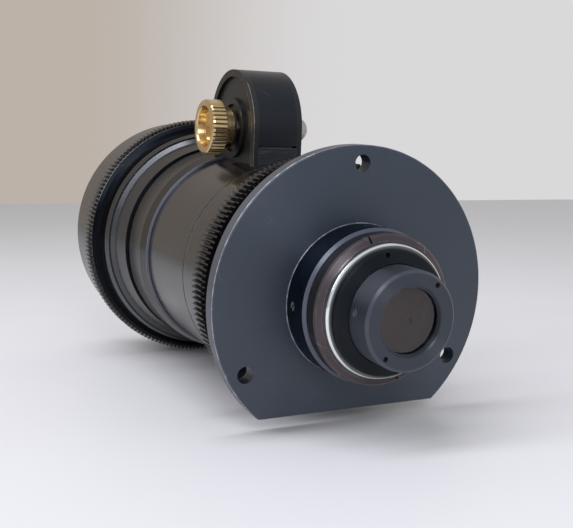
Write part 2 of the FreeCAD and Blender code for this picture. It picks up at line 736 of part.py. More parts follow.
def iris_blades():
    """All blades, each on its own level, with pins that reach the cam ring and the pivot plate."""
    pieces = {}
    pivot = on_axis_circle(PIVOT_CIRCLE_R, 0, 0)
    pin = on_axis_circle(PIN_CIRCLE_R, PIN_ANGLE, 0)
    plain = iris_blade()
    for number in range(BLADE_COUNT):
        level = BLADES_REAR + number * BLADE_STEP
        blade = plain.translated(AXIS * level)
        pivot_pin = rod(PIN_R, pivot + AXIS * level, AXIS, PIVOT_PLATE_FRONT - PIN_SHORT - level)
        drive_pin = rod(PIN_R, pin + AXIS * (CAM_PLATE_REAR + PIN_SHORT), AXIS, level - CAM_PLATE_REAR)
        blade = blade.fuse([pivot_pin, drive_pin]).removeSplitter()
        blade.rotate(ORIGIN, AXIS, 360 * number / BLADE_COUNT)
        pieces["iris_blade_%d" % (number + 1)] = blade
    return pieces


def iris_pivot_plate():
    """The fixed plate that the blades turn on."""
    body = tube(PIVOT_PLATE_INNER_R, DRUM_BORE_R - SEATED, PIVOT_PLATE_REAR, PIVOT_PLATE_FRONT)
    for number in range(BLADE_COUNT):
        start = on_axis_circle(PIVOT_CIRCLE_R, -360 * number / BLADE_COUNT, PIVOT_PLATE_REAR - PAST)
        body = body.cut(rod(PIN_R + RUNNING, start, AXIS, PIVOT_PLATE_FRONT - PIVOT_PLATE_REAR + 2 * PAST))
    return body


# Main barrel and zoom carriage

def main_barrel():
    """Barrel, step, fixed ring and the nose under the focus ring, turned in one piece."""
    body = turned([
        (SEAM_Y, BARREL_BORE_R + SEATED),
        (SEAM_Y, BARREL_R),
        (STEP_Y, BARREL_R),
        (STEP_Y, STEP_R),
        (CONE_Y, FIXED_RING_R),
        (FIXED_RING_FRONT, FIXED_RING_R),
        (FIXED_RING_FRONT, GAP_FLOOR_R),
        (GAP_FRONT, GAP_FLOOR_R),
        (GAP_FRONT, NOSE_R),
        (NOSE_FRONT + AXIAL_PLAY, NOSE_R),
        (NOSE_FRONT + AXIAL_PLAY, NOSE_BORE_R),
        (ROD_PLATE_REAR, NOSE_BORE_R),
        (ROD_PLATE_REAR, BARREL_BORE_R + SEATED),
    ])
    half = PINION_SLOT_WIDTH / 2
    length = (SHAFT_Y - PINION_SLOT_LENGTH / 2, SHAFT_Y + PINION_SLOT_LENGTH / 2)
    return body.cut(block((-half, half), length, (BARREL_BORE_R - PAST, FIXED_RING_R + PAST)))


def guide_rod_bars():
    """Two round bars along the lens, one on each side."""
    rear = SEAM_Y + SPIGOT_LENGTH - REAR_BULKHEAD
    length = ROD_PLATE_REAR + ROD_PLATE_THICK - rear
    starts = [FreeCAD.Vector(side * ROD_CIRCLE_R, rear, 0) for side in (-1, 1)]
    return [rod(ROD_R, start, AXIS, length) for start in starts]


def rod_plate():
    """The front plate that carries the guide rods."""
    body = tube(BULKHEAD_BORE_R, NOSE_BORE_R - SEATED, ROD_PLATE_REAR, ROD_PLATE_REAR + ROD_PLATE_THICK)
    for bar in guide_rod_bars():
        body = body.cut(bar)
    return body


def zoom_carriage():
    """The sliding tube with a seat for two elements, two rod bores and a flat for the rack."""
    rear = SHAFT_Y - CARRIAGE_LENGTH / 2
    front = SHAFT_Y + CARRIAGE_LENGTH / 2
    step = CARRIAGE_SHOULDER / 2
    body = turned([
        (rear, CARRIAGE_BORE_R),
        (rear, CARRIAGE_R),
        (front, CARRIAGE_R),
        (front, CARRIAGE_BORE_R),
        (SHAFT_Y + step, CARRIAGE_BORE_R),
        (SHAFT_Y + step, CARRIAGE_SHOULDER_R),
        (SHAFT_Y - step, CARRIAGE_SHOULDER_R),
        (SHAFT_Y - step, CARRIAGE_BORE_R),
    ])
    for side in (-1, 1):
        start = FreeCAD.Vector(side * ROD_CIRCLE_R, rear - PAST, 0)
        body = body.cut(rod(ROD_R + RUNNING, start, AXIS, CARRIAGE_LENGTH + 2 * PAST))
    half = RACK_WIDTH / 2 + SEATED
    body = body.cut(block((-half, half), (rear - PAST, front + PAST), (RACK_BASE_Z, CARRIAGE_R + PAST)))
    for bar in rack_screw_bars():
        body = body.cut(bar)
    return body


def rack_screw_bars():
    """Two screws that hold the rack to the carriage."""
    places = [SHAFT_Y - RACK_SCREW_SPACING / 2, SHAFT_Y + RACK_SCREW_SPACING / 2]
    starts = [FreeCAD.Vector(0, y, RACK_BASE_Z - RACK_SCREW_SUNK) for y in places]
    return [rod(RACK_SCREW_R, start, UP, RACK_SCREW_LENGTH) for start in starts]


def zoom_rack():
    """The straight rack on top of the carriage that the pinion drives."""
    pitch = math.pi * PINION_MODULE
    pitch_z = SHAFT_Z - PINION_TEETH * PINION_MODULE / 2
    slope = math.tan(math.radians(PRESSURE_ANGLE))
    root_z = pitch_z - ROOT_DEPTH * PINION_MODULE
    tip_z = pitch_z + PINION_MODULE
    half = (pitch - TOOTH_BACKLASH * 2) / 4
    start = SHAFT_Y - RACK_TEETH * pitch / 2
    end = SHAFT_Y + RACK_TEETH * pitch / 2
    outline = [(start, RACK_BASE_Z), (start, root_z)]
    for tooth in range(RACK_TEETH):
        middle = start + (tooth + 0.5) * pitch
        foot = half + slope * (pitch_z - root_z)
        top = half - slope * (tip_z - pitch_z)
        outline += [(middle - foot, root_z), (middle - top, tip_z)]
        outline += [(middle + top, tip_z), (middle + foot, root_z)]
    outline += [(end, root_z), (end, RACK_BASE_Z)]
    corners = [FreeCAD.Vector(-RACK_WIDTH / 2, y, z) for y, z in outline]
    rack = Part.Face(Part.makePolygon(corners + corners[:1])).extrude(SIDE * RACK_WIDTH)
    for bar in rack_screw_bars():
        rack = rack.cut(bar)
    return rack


def carriage_glass():
    """The two moving elements and the rings that hold them in the carriage."""
    radius = CARRIAGE_BORE_R - SEATED
    front = SHAFT_Y + CARRIAGE_SHOULDER / 2
    rear = SHAFT_Y - CARRIAGE_SHOULDER / 2
    ring = front + ZOOM_GLASS_EDGE
    back = rear - ZOOM_GLASS_EDGE
    rear_ring = back - rise(radius, ZOOM_GLASS_SAG, CARRIAGE_SHOULDER_R) - SEATED
    rings = [
        tube(CARRIAGE_SHOULDER_R, radius, ring, ring + CARRIAGE_RING_LENGTH),
        tube(CARRIAGE_SHOULDER_R, radius, rear_ring - CARRIAGE_RING_LENGTH, rear_ring),
    ]
    return {
        "zoom_front_element": glass(
            radius, front, ZOOM_GLASS_EDGE, ZOOM_GLASS_INNER_SAG, -ZOOM_GLASS_SAG / 2),
        "zoom_rear_element": glass(
            radius, back, ZOOM_GLASS_EDGE, -ZOOM_GLASS_SAG, -ZOOM_GLASS_INNER_SAG),
        "carriage_retaining_rings": joined(rings),
    }


# Zoom gear case

def case_outline(radius, x, foot):
    """The arch of the gear case at one x, as a face: straight sides and a round top."""
    left = FreeCAD.Vector(x, SHAFT_Y - radius, foot)
    left_top = FreeCAD.Vector(x, SHAFT_Y - radius, SHAFT_Z)
    top = FreeCAD.Vector(x, SHAFT_Y, SHAFT_Z + radius)
    right_top = FreeCAD.Vector(x, SHAFT_Y + radius, SHAFT_Z)
    right = FreeCAD.Vector(x, SHAFT_Y + radius, foot)
    arch = Part.Arc(left_top, top, right_top).toShape()
    sides = [Part.makeLine(right_top, right), Part.makeLine(right, left)]
    return Part.Face(Part.Wire([Part.makeLine(left, left_top), arch] + sides))


def barrel_saddle():
    """What the barrel takes out of the foot of the case."""
    return turned([
        (SEAM_Y, 0),
        (SEAM_Y, BARREL_R + SEATED),
        (STEP_Y, BARREL_R + SEATED),
        (STEP_Y, STEP_R + SEATED),
        (CONE_Y, FIXED_RING_R + SEATED),
        (FIXED_RING_FRONT, FIXED_RING_R + SEATED),
        (FIXED_RING_FRONT, 0),
    ])


def gear_case_body():
    """The arch between the covers, above the base."""
    inside = CASE_HALF_WIDTH - COVER_THICK
    body = case_outline(CASE_R, -inside, BASE_TOP).extrude(SIDE * 2 * inside)
    room = case_outline(CASE_R - CASE_WALL, -inside, BASE_TOP - PAST).extrude(SIDE * 2 * inside)
    return body.cut(room)


def gear_case_base():
    """The saddle block between the covers that sits on the barrel."""
    inside = CASE_HALF_WIDTH - COVER_THICK
    tall = BASE_TOP - BASE_GROOVE
    body = block((-inside, inside), (SHAFT_Y - CASE_R, SHAFT_Y + CASE_R), (CASE_FOOT, tall))
    neck = CASE_R - BASE_GROOVE_DEPTH
    across = inside - BASE_GROOVE_DEPTH
    body = body.fuse(block((-across, across), (SHAFT_Y - neck, SHAFT_Y + neck), (tall, BASE_TOP)))
    room = CASE_R - CASE_WALL
    half = PINION_SLOT_WIDTH / 2
    body = body.cut(block((-half, half), (SHAFT_Y - room, SHAFT_Y + room), (CASE_FOOT, BASE_TOP + PAST)))
    return body.removeSplitter().cut(barrel_saddle())


def cover_blank(side):
    """A cover plate with its rim, before it is drilled; side is -1 on the left."""
    inner = side * (CASE_HALF_WIDTH - COVER_THICK)
    plate = case_outline(CASE_R, inner, CASE_FOOT).extrude(SIDE * side * COVER_THICK)
    return plate.cut(barrel_saddle())


def gear_case_left_cover():
    """The left cover: a raised rim, a sunk panel and a round boss with a well for the knob."""
    plate = cover_blank(-1)
    face = -CASE_HALF_WIDTH
    panel = case_outline(CASE_R - COVER_RIM, face, CASE_FOOT).extrude(SIDE * COVER_RECESS)
    boss = rod(BOSS_R, FreeCAD.Vector(face, SHAFT_Y, SHAFT_Z), SIDE, COVER_RECESS)
    plate = plate.cut(panel.cut(boss))
    well = rod(BOSS_WELL_R, FreeCAD.Vector(face - PAST, SHAFT_Y, SHAFT_Z), SIDE, BOSS_WELL_DEPTH + PAST)
    hole = rod(BUSH_R, FreeCAD.Vector(face - PAST, SHAFT_Y, SHAFT_Z), SIDE, COVER_THICK + 2 * PAST)
    return plate.cut(well.fuse(hole))


def gear_case_right_cover():
    """The plain right cover."""
    plate = cover_blank(1)
    start = FreeCAD.Vector(CASE_HALF_WIDTH - COVER_THICK - PAST, SHAFT_Y, SHAFT_Z)
    return plate.cut(rod(BUSH_R, start, SIDE, COVER_THICK + 2 * PAST))


def shaft_bushes():
    """Two plain bushes, one in each cover, that carry the zoom shaft."""
    inner = CASE_HALF_WIDTH - BUSH_LENGTH
    left_end = -CASE_HALF_WIDTH + BOSS_WELL_DEPTH
    pieces = {}
    for name, start, end in (("left", left_end, -inner), ("right", inner, CASE_HALF_WIDTH)):
        place = FreeCAD.Vector(start, SHAFT_Y, SHAFT_Z)
        body = rod(BUSH_R, place, SIDE, end - start)
        bore = rod(SHAFT_R + RUNNING / 2, place - SIDE, SIDE, end - start + 2 * PAST)
        pieces["shaft_bush_" + name] = body.cut(bore)
    return pieces


def zoom_shaft():
    """The cross shaft, from inside the knob to the dome nut."""
    start = -KNOB_RIM_END + KNOB_CUP_DEPTH + KNOB_CUP_FLOOR
    end = CASE_HALF_WIDTH + AXIAL_PLAY
    shaft = rod(SHAFT_R, FreeCAD.Vector(start, SHAFT_Y, SHAFT_Z), SIDE, end - start)
    return shaft.fuse(rod(SHAFT_END_R, FreeCAD.Vector(end, SHAFT_Y, SHAFT_Z), SIDE, SHAFT_END))


def zoom_pinion():
    """The gear on the cross shaft that drives the rack."""
    flats = gear_points(PINION_TEETH, PINION_MODULE, PINION_FLANK_STEPS)
    start = -PINION_WIDTH / 2
    corners = []
    for r, turn in flats:
        corners.append(FreeCAD.Vector(start, SHAFT_Y + r * math.cos(turn), SHAFT_Z + r * math.sin(turn)))
    outline = Part.makePolygon(corners + corners[:1])
    gear = Part.Face(outline).extrude(SIDE * PINION_WIDTH)
    place = FreeCAD.Vector(start - PAST, SHAFT_Y, SHAFT_Z)
    return gear.cut(rod(SHAFT_R, place, SIDE, PINION_WIDTH + 2 * PAST))


def cross_turned(points):
    """A solid turned about the cross shaft from (x, radius) corners."""
    corners = [FreeCAD.Vector(x, SHAFT_Y, SHAFT_Z + r) for x, r in points]
    outline = Part.makePolygon(corners + corners[:1])
    return Part.Face(outline).revolve(FreeCAD.Vector(0, SHAFT_Y, SHAFT_Z), SIDE, 360)


def zoom_knob():
    """The brass knob: plain collar, knurled rim and a cup in its face."""
    floor = -KNOB_RIM_END + KNOB_CUP_DEPTH
    knob = cross_turned([
        (-KNOB_COLLAR_START, SHAFT_R),
        (-KNOB_COLLAR_START, KNOB_COLLAR_R - KNOB_COLLAR_ROUND),
        (-KNOB_COLLAR_START - KNOB_COLLAR_ROUND / 4, KNOB_COLLAR_R - KNOB_COLLAR_ROUND / 3),
        (-KNOB_COLLAR_START - KNOB_COLLAR_ROUND, KNOB_COLLAR_R),
        (-KNOB_RIM_START, KNOB_COLLAR_R),
        (-KNOB_RIM_START, KNOB_RIM_R - KNOB_EDGE),
        (-KNOB_RIM_START - KNOB_EDGE, KNOB_RIM_R),
        (-KNOB_RIM_END + KNOB_LIP, KNOB_RIM_R),
        (-KNOB_RIM_END + KNOB_LIP_ROUND, KNOB_RIM_R - KNOB_LIP_ROUND),
        (-KNOB_RIM_END, KNOB_RIM_R - KNOB_LIP),
        (-KNOB_RIM_END, KNOB_CUP_R + KNOB_CUP_EDGE),
        (-KNOB_RIM_END + KNOB_CUP_EDGE, KNOB_CUP_R),
        (floor, KNOB_CUP_FLOOR_R),
        (floor, 0),
        (floor + KNOB_CUP_FLOOR, 0),
        (floor + KNOB_CUP_FLOOR, SHAFT_R),
    ])
    return knob.cut(knurl_cutter())


def knurl_cutter():
    """Straight grooves round the rim of the knob."""
    start = -KNOB_RIM_END - PAST
    length = KNOB_RIM_END - KNOB_RIM_START + 2 * PAST
    width = math.pi * KNOB_RIM_R / KNOB_KNURLS * KNURL_SHARE
    corners = [
        FreeCAD.Vector(start, SHAFT_Y - width, SHAFT_Z + KNOB_RIM_R + KNURL_OVER),
        FreeCAD.Vector(start, SHAFT_Y, SHAFT_Z + KNOB_RIM_R - KNURL_DEPTH),
        FreeCAD.Vector(start, SHAFT_Y + width, SHAFT_Z + KNOB_RIM_R + KNURL_OVER),
    ]
    groove = Part.Face(Part.makePolygon(corners + corners[:1])).extrude(SIDE * length)
    centre = FreeCAD.Vector(0, SHAFT_Y, SHAFT_Z)
    grooves = []
    for number in range(KNOB_KNURLS):
        copy = groove.copy()
        copy.rotate(centre, SIDE, 360 * number / KNOB_KNURLS)
        grooves.append(copy)
    return joined(grooves)


def shaft_dome_nut():
    """The domed nut on the right end of the shaft."""
    face = CASE_HALF_WIDTH + AXIAL_PLAY
    low = face + NUT_BASE
    bend = (NUT_R ** 2 + NUT_DOME ** 2) / (2 * NUT_DOME)
    half = math.asin(NUT_R / bend) / 2
    tip = FreeCAD.Vector(low + NUT_DOME, SHAFT_Y, SHAFT_Z)
    drop = bend * (1 - math.cos(half))
    between = FreeCAD.Vector(low + NUT_DOME - drop, SHAFT_Y, SHAFT_Z + bend * math.sin(half))
    rim = FreeCAD.Vector(low, SHAFT_Y, SHAFT_Z + NUT_R)
    foot = FreeCAD.Vector(face, SHAFT_Y, SHAFT_Z + NUT_R)
    middle = FreeCAD.Vector(face, SHAFT_Y, SHAFT_Z)
    edges = [
        Part.Arc(tip, between, rim).toShape(),
        Part.makeLine(rim, foot),
        Part.makeLine(foot, middle),
        Part.makeLine(middle, tip),
    ]
    nut = Part.Face(Part.Wire(edges)).revolve(middle, SIDE, 360)
    return nut.cut(rod(SHAFT_END_R, middle, SIDE, SHAFT_END))


# Focus ring and front cell

def focus_ring():
    """The large front ring: sleeve, two bands, face, teeth and plain band."""
    root = root_radius(FOCUS_TEETH)
    bore = NOSE_R + RUNNING
    inside = root - TOOTH_HOOP
    body = turned([
        (SLEEVE_REAR, bore),
        (SLEEVE_REAR, SLEEVE_R),
        (SLEEVE_FLARE_Y, SLEEVE_FLARE_R),
        (BAND_ONE_Y, BAND_ONE_R),
        (BAND_ONE_Y, BAND_GROOVE_R),
        (BAND_ONE_Y + BAND_GROOVE, BAND_GROOVE_R),
        (BAND_ONE_Y + BAND_GROOVE, BAND_TWO_R),
        (BAND_END_Y, BAND_END_R),
        (FOCUS_FACE_Y - FACE_FILLET, BAND_END_R),
        (FOCUS_FACE_Y - FACE_FILLET / 4, BAND_END_R + FACE_FILLET / 4),
        (FOCUS_FACE_Y, BAND_END_R + FACE_FILLET),
        (FOCUS_TOOTH_REAR, root),
        (FOCUS_TOOTH_REAR, inside),
        (FOCUS_TOOTH_FRONT, inside),
        (FOCUS_TOOTH_FRONT, PLAIN_BAND_R),
        (FOCUS_FRONT - FOCUS_EDGE, PLAIN_BAND_R),
        (FOCUS_FRONT, FOCUS_RIM_R),
        (FOCUS_FRONT, FOCUS_LIP_R),
        (FOCUS_FRONT - FOCUS_LIP, FOCUS_BORE_R),
        (FOCUS_WEB_FRONT, FOCUS_BORE_R),
        (FOCUS_WEB_FRONT, RETAINER_ROOM_R),
        (NOSE_FRONT, RETAINER_ROOM_R),
        (NOSE_FRONT, bore),
    ])
    teeth = toothed_band(FOCUS_TEETH, inside, FOCUS_TOOTH_REAR, FOCUS_TOOTH_FRONT)
    return body.fuse(teeth).removeSplitter()


def key_pin_bars():
    """Two pins that keep the front cell from turning."""
    rear = NOSE_FRONT + AXIAL_PLAY
    starts = [FreeCAD.Vector(side * KEY_PIN_CIRCLE_R, rear, 0) for side in (-1, 1)]
    return [rod(KEY_PIN_R, start, AXIS, KEY_PIN_FRONT - rear) for start in starts]


def focus_retainer():
    """The plate on the nose that keeps the focus ring in place and carries the key pins."""
    rear = NOSE_FRONT + AXIAL_PLAY
    body = tube(RETAINER_BORE_R, RETAINER_R, rear, rear + RETAINER_THICK)
    for bar in key_pin_bars():
        body = body.cut(bar)
    return body


def front_cell():
    """The sliding cell that carries the front glass."""
    outer = FOCUS_BORE_R - RUNNING
    bore = FRONT_GLASS_R + SEATED
    body = turned([
        (FRONT_CELL_REAR, FRONT_CELL_FLANGE_R),
        (FRONT_CELL_REAR, outer),
        (FRONT_CELL_FRONT, outer),
        (FRONT_CELL_FRONT, bore),
        (FRONT_CELL_STEP_Y, bore),
        (FRONT_CELL_STEP_Y, FRONT_CELL_STEP_R),
        (FRONT_CELL_REAR + FRONT_CELL_FLANGE, FRONT_CELL_STEP_R),
        (FRONT_CELL_REAR + FRONT_CELL_FLANGE, FRONT_CELL_FLANGE_R),
    ])
    for side in (-1, 1):
        start = FreeCAD.Vector(side * KEY_PIN_CIRCLE_R, FRONT_CELL_REAR - PAST, 0)
        body = body.cut(rod(KEY_PIN_R + RUNNING, start, AXIS, FRONT_CELL_FLANGE + 2 * PAST))
    return body


def front_stack():
    """The glass, spacer and retaining ring in the front cell, from the back forwards."""
    place = FRONT_CELL_STEP_Y
    pieces = {}
    pieces["front_inner_element"] = glass(
        FRONT_GLASS_R, place, FRONT_INNER_EDGE, FRONT_INNER_SAG / 2, FRONT_INNER_SAG)
    place += FRONT_INNER_EDGE + rise(FRONT_GLASS_R, FRONT_INNER_SAG, FRONT_SPACER_R) + SEATED
    pieces["front_spacer"] = tube(FRONT_SPACER_R, FRONT_GLASS_R, place, place + FRONT_SPACER_LENGTH)
    place += FRONT_SPACER_LENGTH
    pieces["front_element"] = glass(
        FRONT_GLASS_R, place, FRONT_GLASS_EDGE, FRONT_GLASS_REAR_SAG, FRONT_GLASS_SAG)
    place += FRONT_GLASS_EDGE + rise(FRONT_GLASS_R, FRONT_GLASS_SAG, FRONT_RING_R) + SEATED
    pieces["front_retaining_ring"] = turned([
        (place, FRONT_RING_R),
        (place, FRONT_GLASS_R),
        (place + FRONT_RING_LENGTH, FRONT_GLASS_R),
        (place + FRONT_RING_LENGTH, FRONT_RING_FACE_R),
    ])
    return pieces


# All pieces, by the name of each node

def all_pieces():
    """Every piece of the lens."""
    parts = {
        "mounting_flange": mounting_flange(),
        "flange_set_screws": flange_set_screws(),
        "clamp_ring": clamp_ring(),
        "chrome_ring": chrome_ring(),
        "cell_lock_ring": cell_lock_ring(),
        "rear_lens_cell": rear_lens_cell(),
        "cell_set_screws": cell_set_screws(),
        "rear_body": rear_body(),
        "iris_gear_ring": iris_gear_ring(),
        "iris_drive_screw": drive_screw_bar(),
        "iris_cam_ring": iris_cam_ring(),
        "iris_pivot_plate": iris_pivot_plate(),
        "main_barrel": main_barrel(),
        "guide_rods": joined(guide_rod_bars()),
        "rod_plate": rod_plate(),
        "zoom_carriage": zoom_carriage(),
        "zoom_rack": zoom_rack(),
        "rack_screws": joined(rack_screw_bars()),
        "gear_case_body": gear_case_body(),
        "gear_case_base": gear_case_base(),
        "gear_case_left_cover": gear_case_left_cover(),
        "gear_case_right_cover": gear_case_right_cover(),
        "zoom_shaft": zoom_shaft(),
        "zoom_pinion": zoom_pinion(),
        "zoom_knob": zoom_knob(),
        "shaft_dome_nut": shaft_dome_nut(),
        "focus_ring": focus_ring(),
        "focus_retainer": focus_retainer(),
        "focus_key_pins": joined(key_pin_bars()),
        "front_cell": front_cell(),
    }
    for group in (rear_stack(), iris_blades(), carriage_glass(), shaft_bushes(), front_stack()):
        parts.update(group)
    return parts


def main():
    """Writes one STEP file for each piece."""
    os.makedirs("parts", exist_ok=True)
    for name, shape in all_pieces().items():
        shape.exportStep(os.path.join("parts", name + ".step"))


main()
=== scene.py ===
"""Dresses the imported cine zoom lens.

Every solid of the lens gets a finish, the set screws get their slots, the front cell gets its thread, and
the lens lies on a pale table in front of the camera. All lengths are in metres, in the frame of the solids:
the lens axis is Y, +Y points to the front glass, +Z is up towards the zoom gear case.
"""
import logging
import math
from dataclasses import dataclass
from enum import Enum
from typing import Iterable, Sequence

import bpy
from mathutils import Matrix, Vector


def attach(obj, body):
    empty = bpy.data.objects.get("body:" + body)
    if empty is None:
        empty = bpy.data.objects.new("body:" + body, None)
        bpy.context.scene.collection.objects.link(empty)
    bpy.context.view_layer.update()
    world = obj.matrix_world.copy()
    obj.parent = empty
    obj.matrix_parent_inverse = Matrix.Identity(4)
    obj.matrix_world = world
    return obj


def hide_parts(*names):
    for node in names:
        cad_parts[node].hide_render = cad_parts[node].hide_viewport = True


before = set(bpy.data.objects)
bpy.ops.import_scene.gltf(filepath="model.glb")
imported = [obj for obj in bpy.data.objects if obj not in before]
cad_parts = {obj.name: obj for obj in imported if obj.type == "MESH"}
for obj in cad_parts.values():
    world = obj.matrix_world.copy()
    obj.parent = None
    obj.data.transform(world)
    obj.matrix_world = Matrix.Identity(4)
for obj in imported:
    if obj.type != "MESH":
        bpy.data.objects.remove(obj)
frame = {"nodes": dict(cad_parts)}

LOG = logging.getLogger("cine_zoom_lens")
MM = 0.001

Colour = tuple[float, float, float]
Socket = bpy.types.NodeSocket

# The scales of the metal's noises: about how many of their features lie in a metre.
CLOUD_SCALE = 38.0
GRAIN_SCALE = 2400.0
PATCH_SCALE = 260.0
WARP_SCALE = 14.0
SCRATCH_SCALE = 55.0
SCRATCH_FADE_SCALE = 90.0

# How far the warp bends a scratch, in metres, and a scratch's width as a share of one cell.
WARP_REACH = 0.02
SCRATCH_WIDTH = 0.012

# The width of the camera's sensor, in millimetres.
SENSOR_WIDTH = 36.0


class TurnedAbout(Enum):
    """The line that a piece was turned about on the lathe."""

    LENS_AXIS = "lens axis"
    CROSS_SHAFT = "cross shaft"
    NOTHING = "nothing"


class Slot(Enum):
    """Two material slots of the record; the new pieces in this script get their finishes directly and don't
    use them.
    """

    STEEL = "steel"
    GREY = "grey_anodised"


# Finishes

class Graph:
    """A small helper that adds shader nodes and joins them."""

    def __init__(self, name: str) -> None:
        """Starts an empty node material.

        Args:
            name: the material's name.
        """
        self.material = bpy.data.materials.new(name)
        self.material.use_nodes = True
        self.tree = self.material.node_tree
        self.shader = self.tree.nodes["Principled BSDF"]

    def add(self, kind: str, **values: object) -> bpy.types.Node:
        """Adds a node and sets its properties.

        Args:
            kind: the node's type name.
            values: properties to set on it.

        Returns:
            The new node.
        """
        node = self.tree.nodes.new(kind)
        for key, value in values.items():
            setattr(node, key, value)
        return node

    def join(self, source: object, target: object) -> None:
        """Links an output socket to an input socket."""
        self.tree.links.new(source, target)

    def feed(self, socket: Socket, value: object) -> None:
        """Sets a socket from a number, a vector or another socket.

        Args:
            socket: the input socket.
            value: what goes into it.
        """
        if isinstance(value, Socket):
            self.join(value, socket)
        else:
            socket.default_value = value

    def maths(self, operation: str, *values: object, clamp: bool = False) -> Socket:
        """Adds a math node.

        Args:
            operation: the name of the operation.
            values: numbers or sockets for its inputs.
            clamp: keeps the result between 0 and 1.

        Returns:
            The node's output.
        """
        node = self.add("ShaderNodeMath", operation=operation, use_clamp=clamp)
        for socket, value in zip(node.inputs, values):
            self.feed(socket, value)
        return node.outputs[0]

    def ramp(self, value: object, low: float, high: float, start: float = 0.0, end: float = 1.0) -> Socket:
        """Maps a value smoothly from one range to another.

        Args:
            value: the socket to map.
            low: the value that gives the start.
            high: the value that gives the end.
            start: the result at the low value.
            end: the result at the high value.

        Returns:
            The mapped output.
        """
        node = self.add("ShaderNodeMapRange", interpolation_type="SMOOTHSTEP")
        for socket, part in zip(node.inputs, (value, low, high, start, end)):
            self.feed(socket, part)
        return node.outputs[0]

    def mix(self, share: object, first: object, second: object) -> Socket:
        """Mixes two colours.

        Args:
            share: how much of the second colour.
            first: a colour or a socket.
            second: a colour or a socket.

        Returns:
            The mixed colour.
        """
        node = self.add("ShaderNodeMix", data_type="RGBA")
        self.feed(node.inputs["Factor"], share)
        self.feed(node.inputs["A"], first if isinstance(first, Socket) else (*first, 1))
        self.feed(node.inputs["B"], second if isinstance(second, Socket) else (*second, 1))
        return next(o for o in node.outputs if o.type == "RGBA")

    def noise(self, place: object, scale: float, detail: float = 3.0, roughness: float = 0.55) -> Socket:
        """Adds a noise texture.

        Args:
            place: the vector that it reads.
            scale: its scale.
            detail: its octaves.
            roughness: how strong the fine octaves are.

        Returns:
            The noise value.
        """
        node = self.add("ShaderNodeTexNoise")
        self.feed(node.inputs["Vector"], place)
        node.inputs["Scale"].default_value = scale
        node.inputs["Detail"].default_value = detail
        node.inputs["Roughness"].default_value = roughness
        return node.outputs[0]

    def place(self) -> Socket:
        """The point on the surface, in the frame of the solids."""
        return self.add("ShaderNodeTexCoord").outputs["Object"]

    def vector(self, x: object, y: object, z: object) -> Socket:
        """Joins three numbers into a vector."""
        node = self.add("ShaderNodeCombineXYZ")
        for socket, value in zip(node.inputs, (x, y, z)):
            self.feed(socket, value)
        return node.outputs[0]

    def split(self, vector: object) -> tuple[Socket, ...]:
        """Splits a vector into its three numbers."""
        node = self.add("ShaderNodeSeparateXYZ")
        self.join(vector, node.inputs[0])
        return tuple(node.outputs)

    def edge(self, radius: float) -> Socket:
        """How sharply the surface bends within a radius: 0 on a flat, more on an edge.

        Args:
            radius: how far from an edge it still shows.

        Returns:
            The bend.
        """
        rounded = self.add("ShaderNodeBevel", samples=6)
        rounded.inputs["Radius"].default_value = radius
        flat = self.add("ShaderNodeNewGeometry")
        dot = self.add("ShaderNodeVectorMath", operation="DOT_PRODUCT")
        self.join(rounded.outputs[0], dot.inputs[0])
        self.join(flat.outputs["True Normal"], dot.inputs[1])
        return self.maths("SUBTRACT", 1.0, dot.outputs["Value"])

    def bump(self, height: object, distance: float, strength: float) -> None:
        """Adds bump to the shader.

        Args:
            height: the height socket.
            distance: the real height of a unit.
            strength: the share of it that shows.
        """
        node = self.add("ShaderNodeBump")
        node.inputs["Strength"].default_value = strength
        node.inputs["Distance"].default_value = distance
        self.join(height, node.inputs["Height"])
        self.join(node.outputs[0], self.shader.inputs["Normal"])


@dataclass(frozen=True)
class WornAndLitCircle:
    """A turned edge painted bright all round: rubbed metal on some finishes, a painted highlight on others.
    """

    radius: float
    y: float
    reach: float = 0.25 * MM
    strength: float = 1.0


@dataclass(frozen=True)
class Zone:
    """A part of a turned piece with a tone of its own, between two radii and two places along its axis;
    several finishes use it for painted shade and for painted highlights.
    """

    inner: float
    outer: float
    start: float
    end: float
    colour: Colour
    metallic: float = 0.0
    roughness: float = 0.3


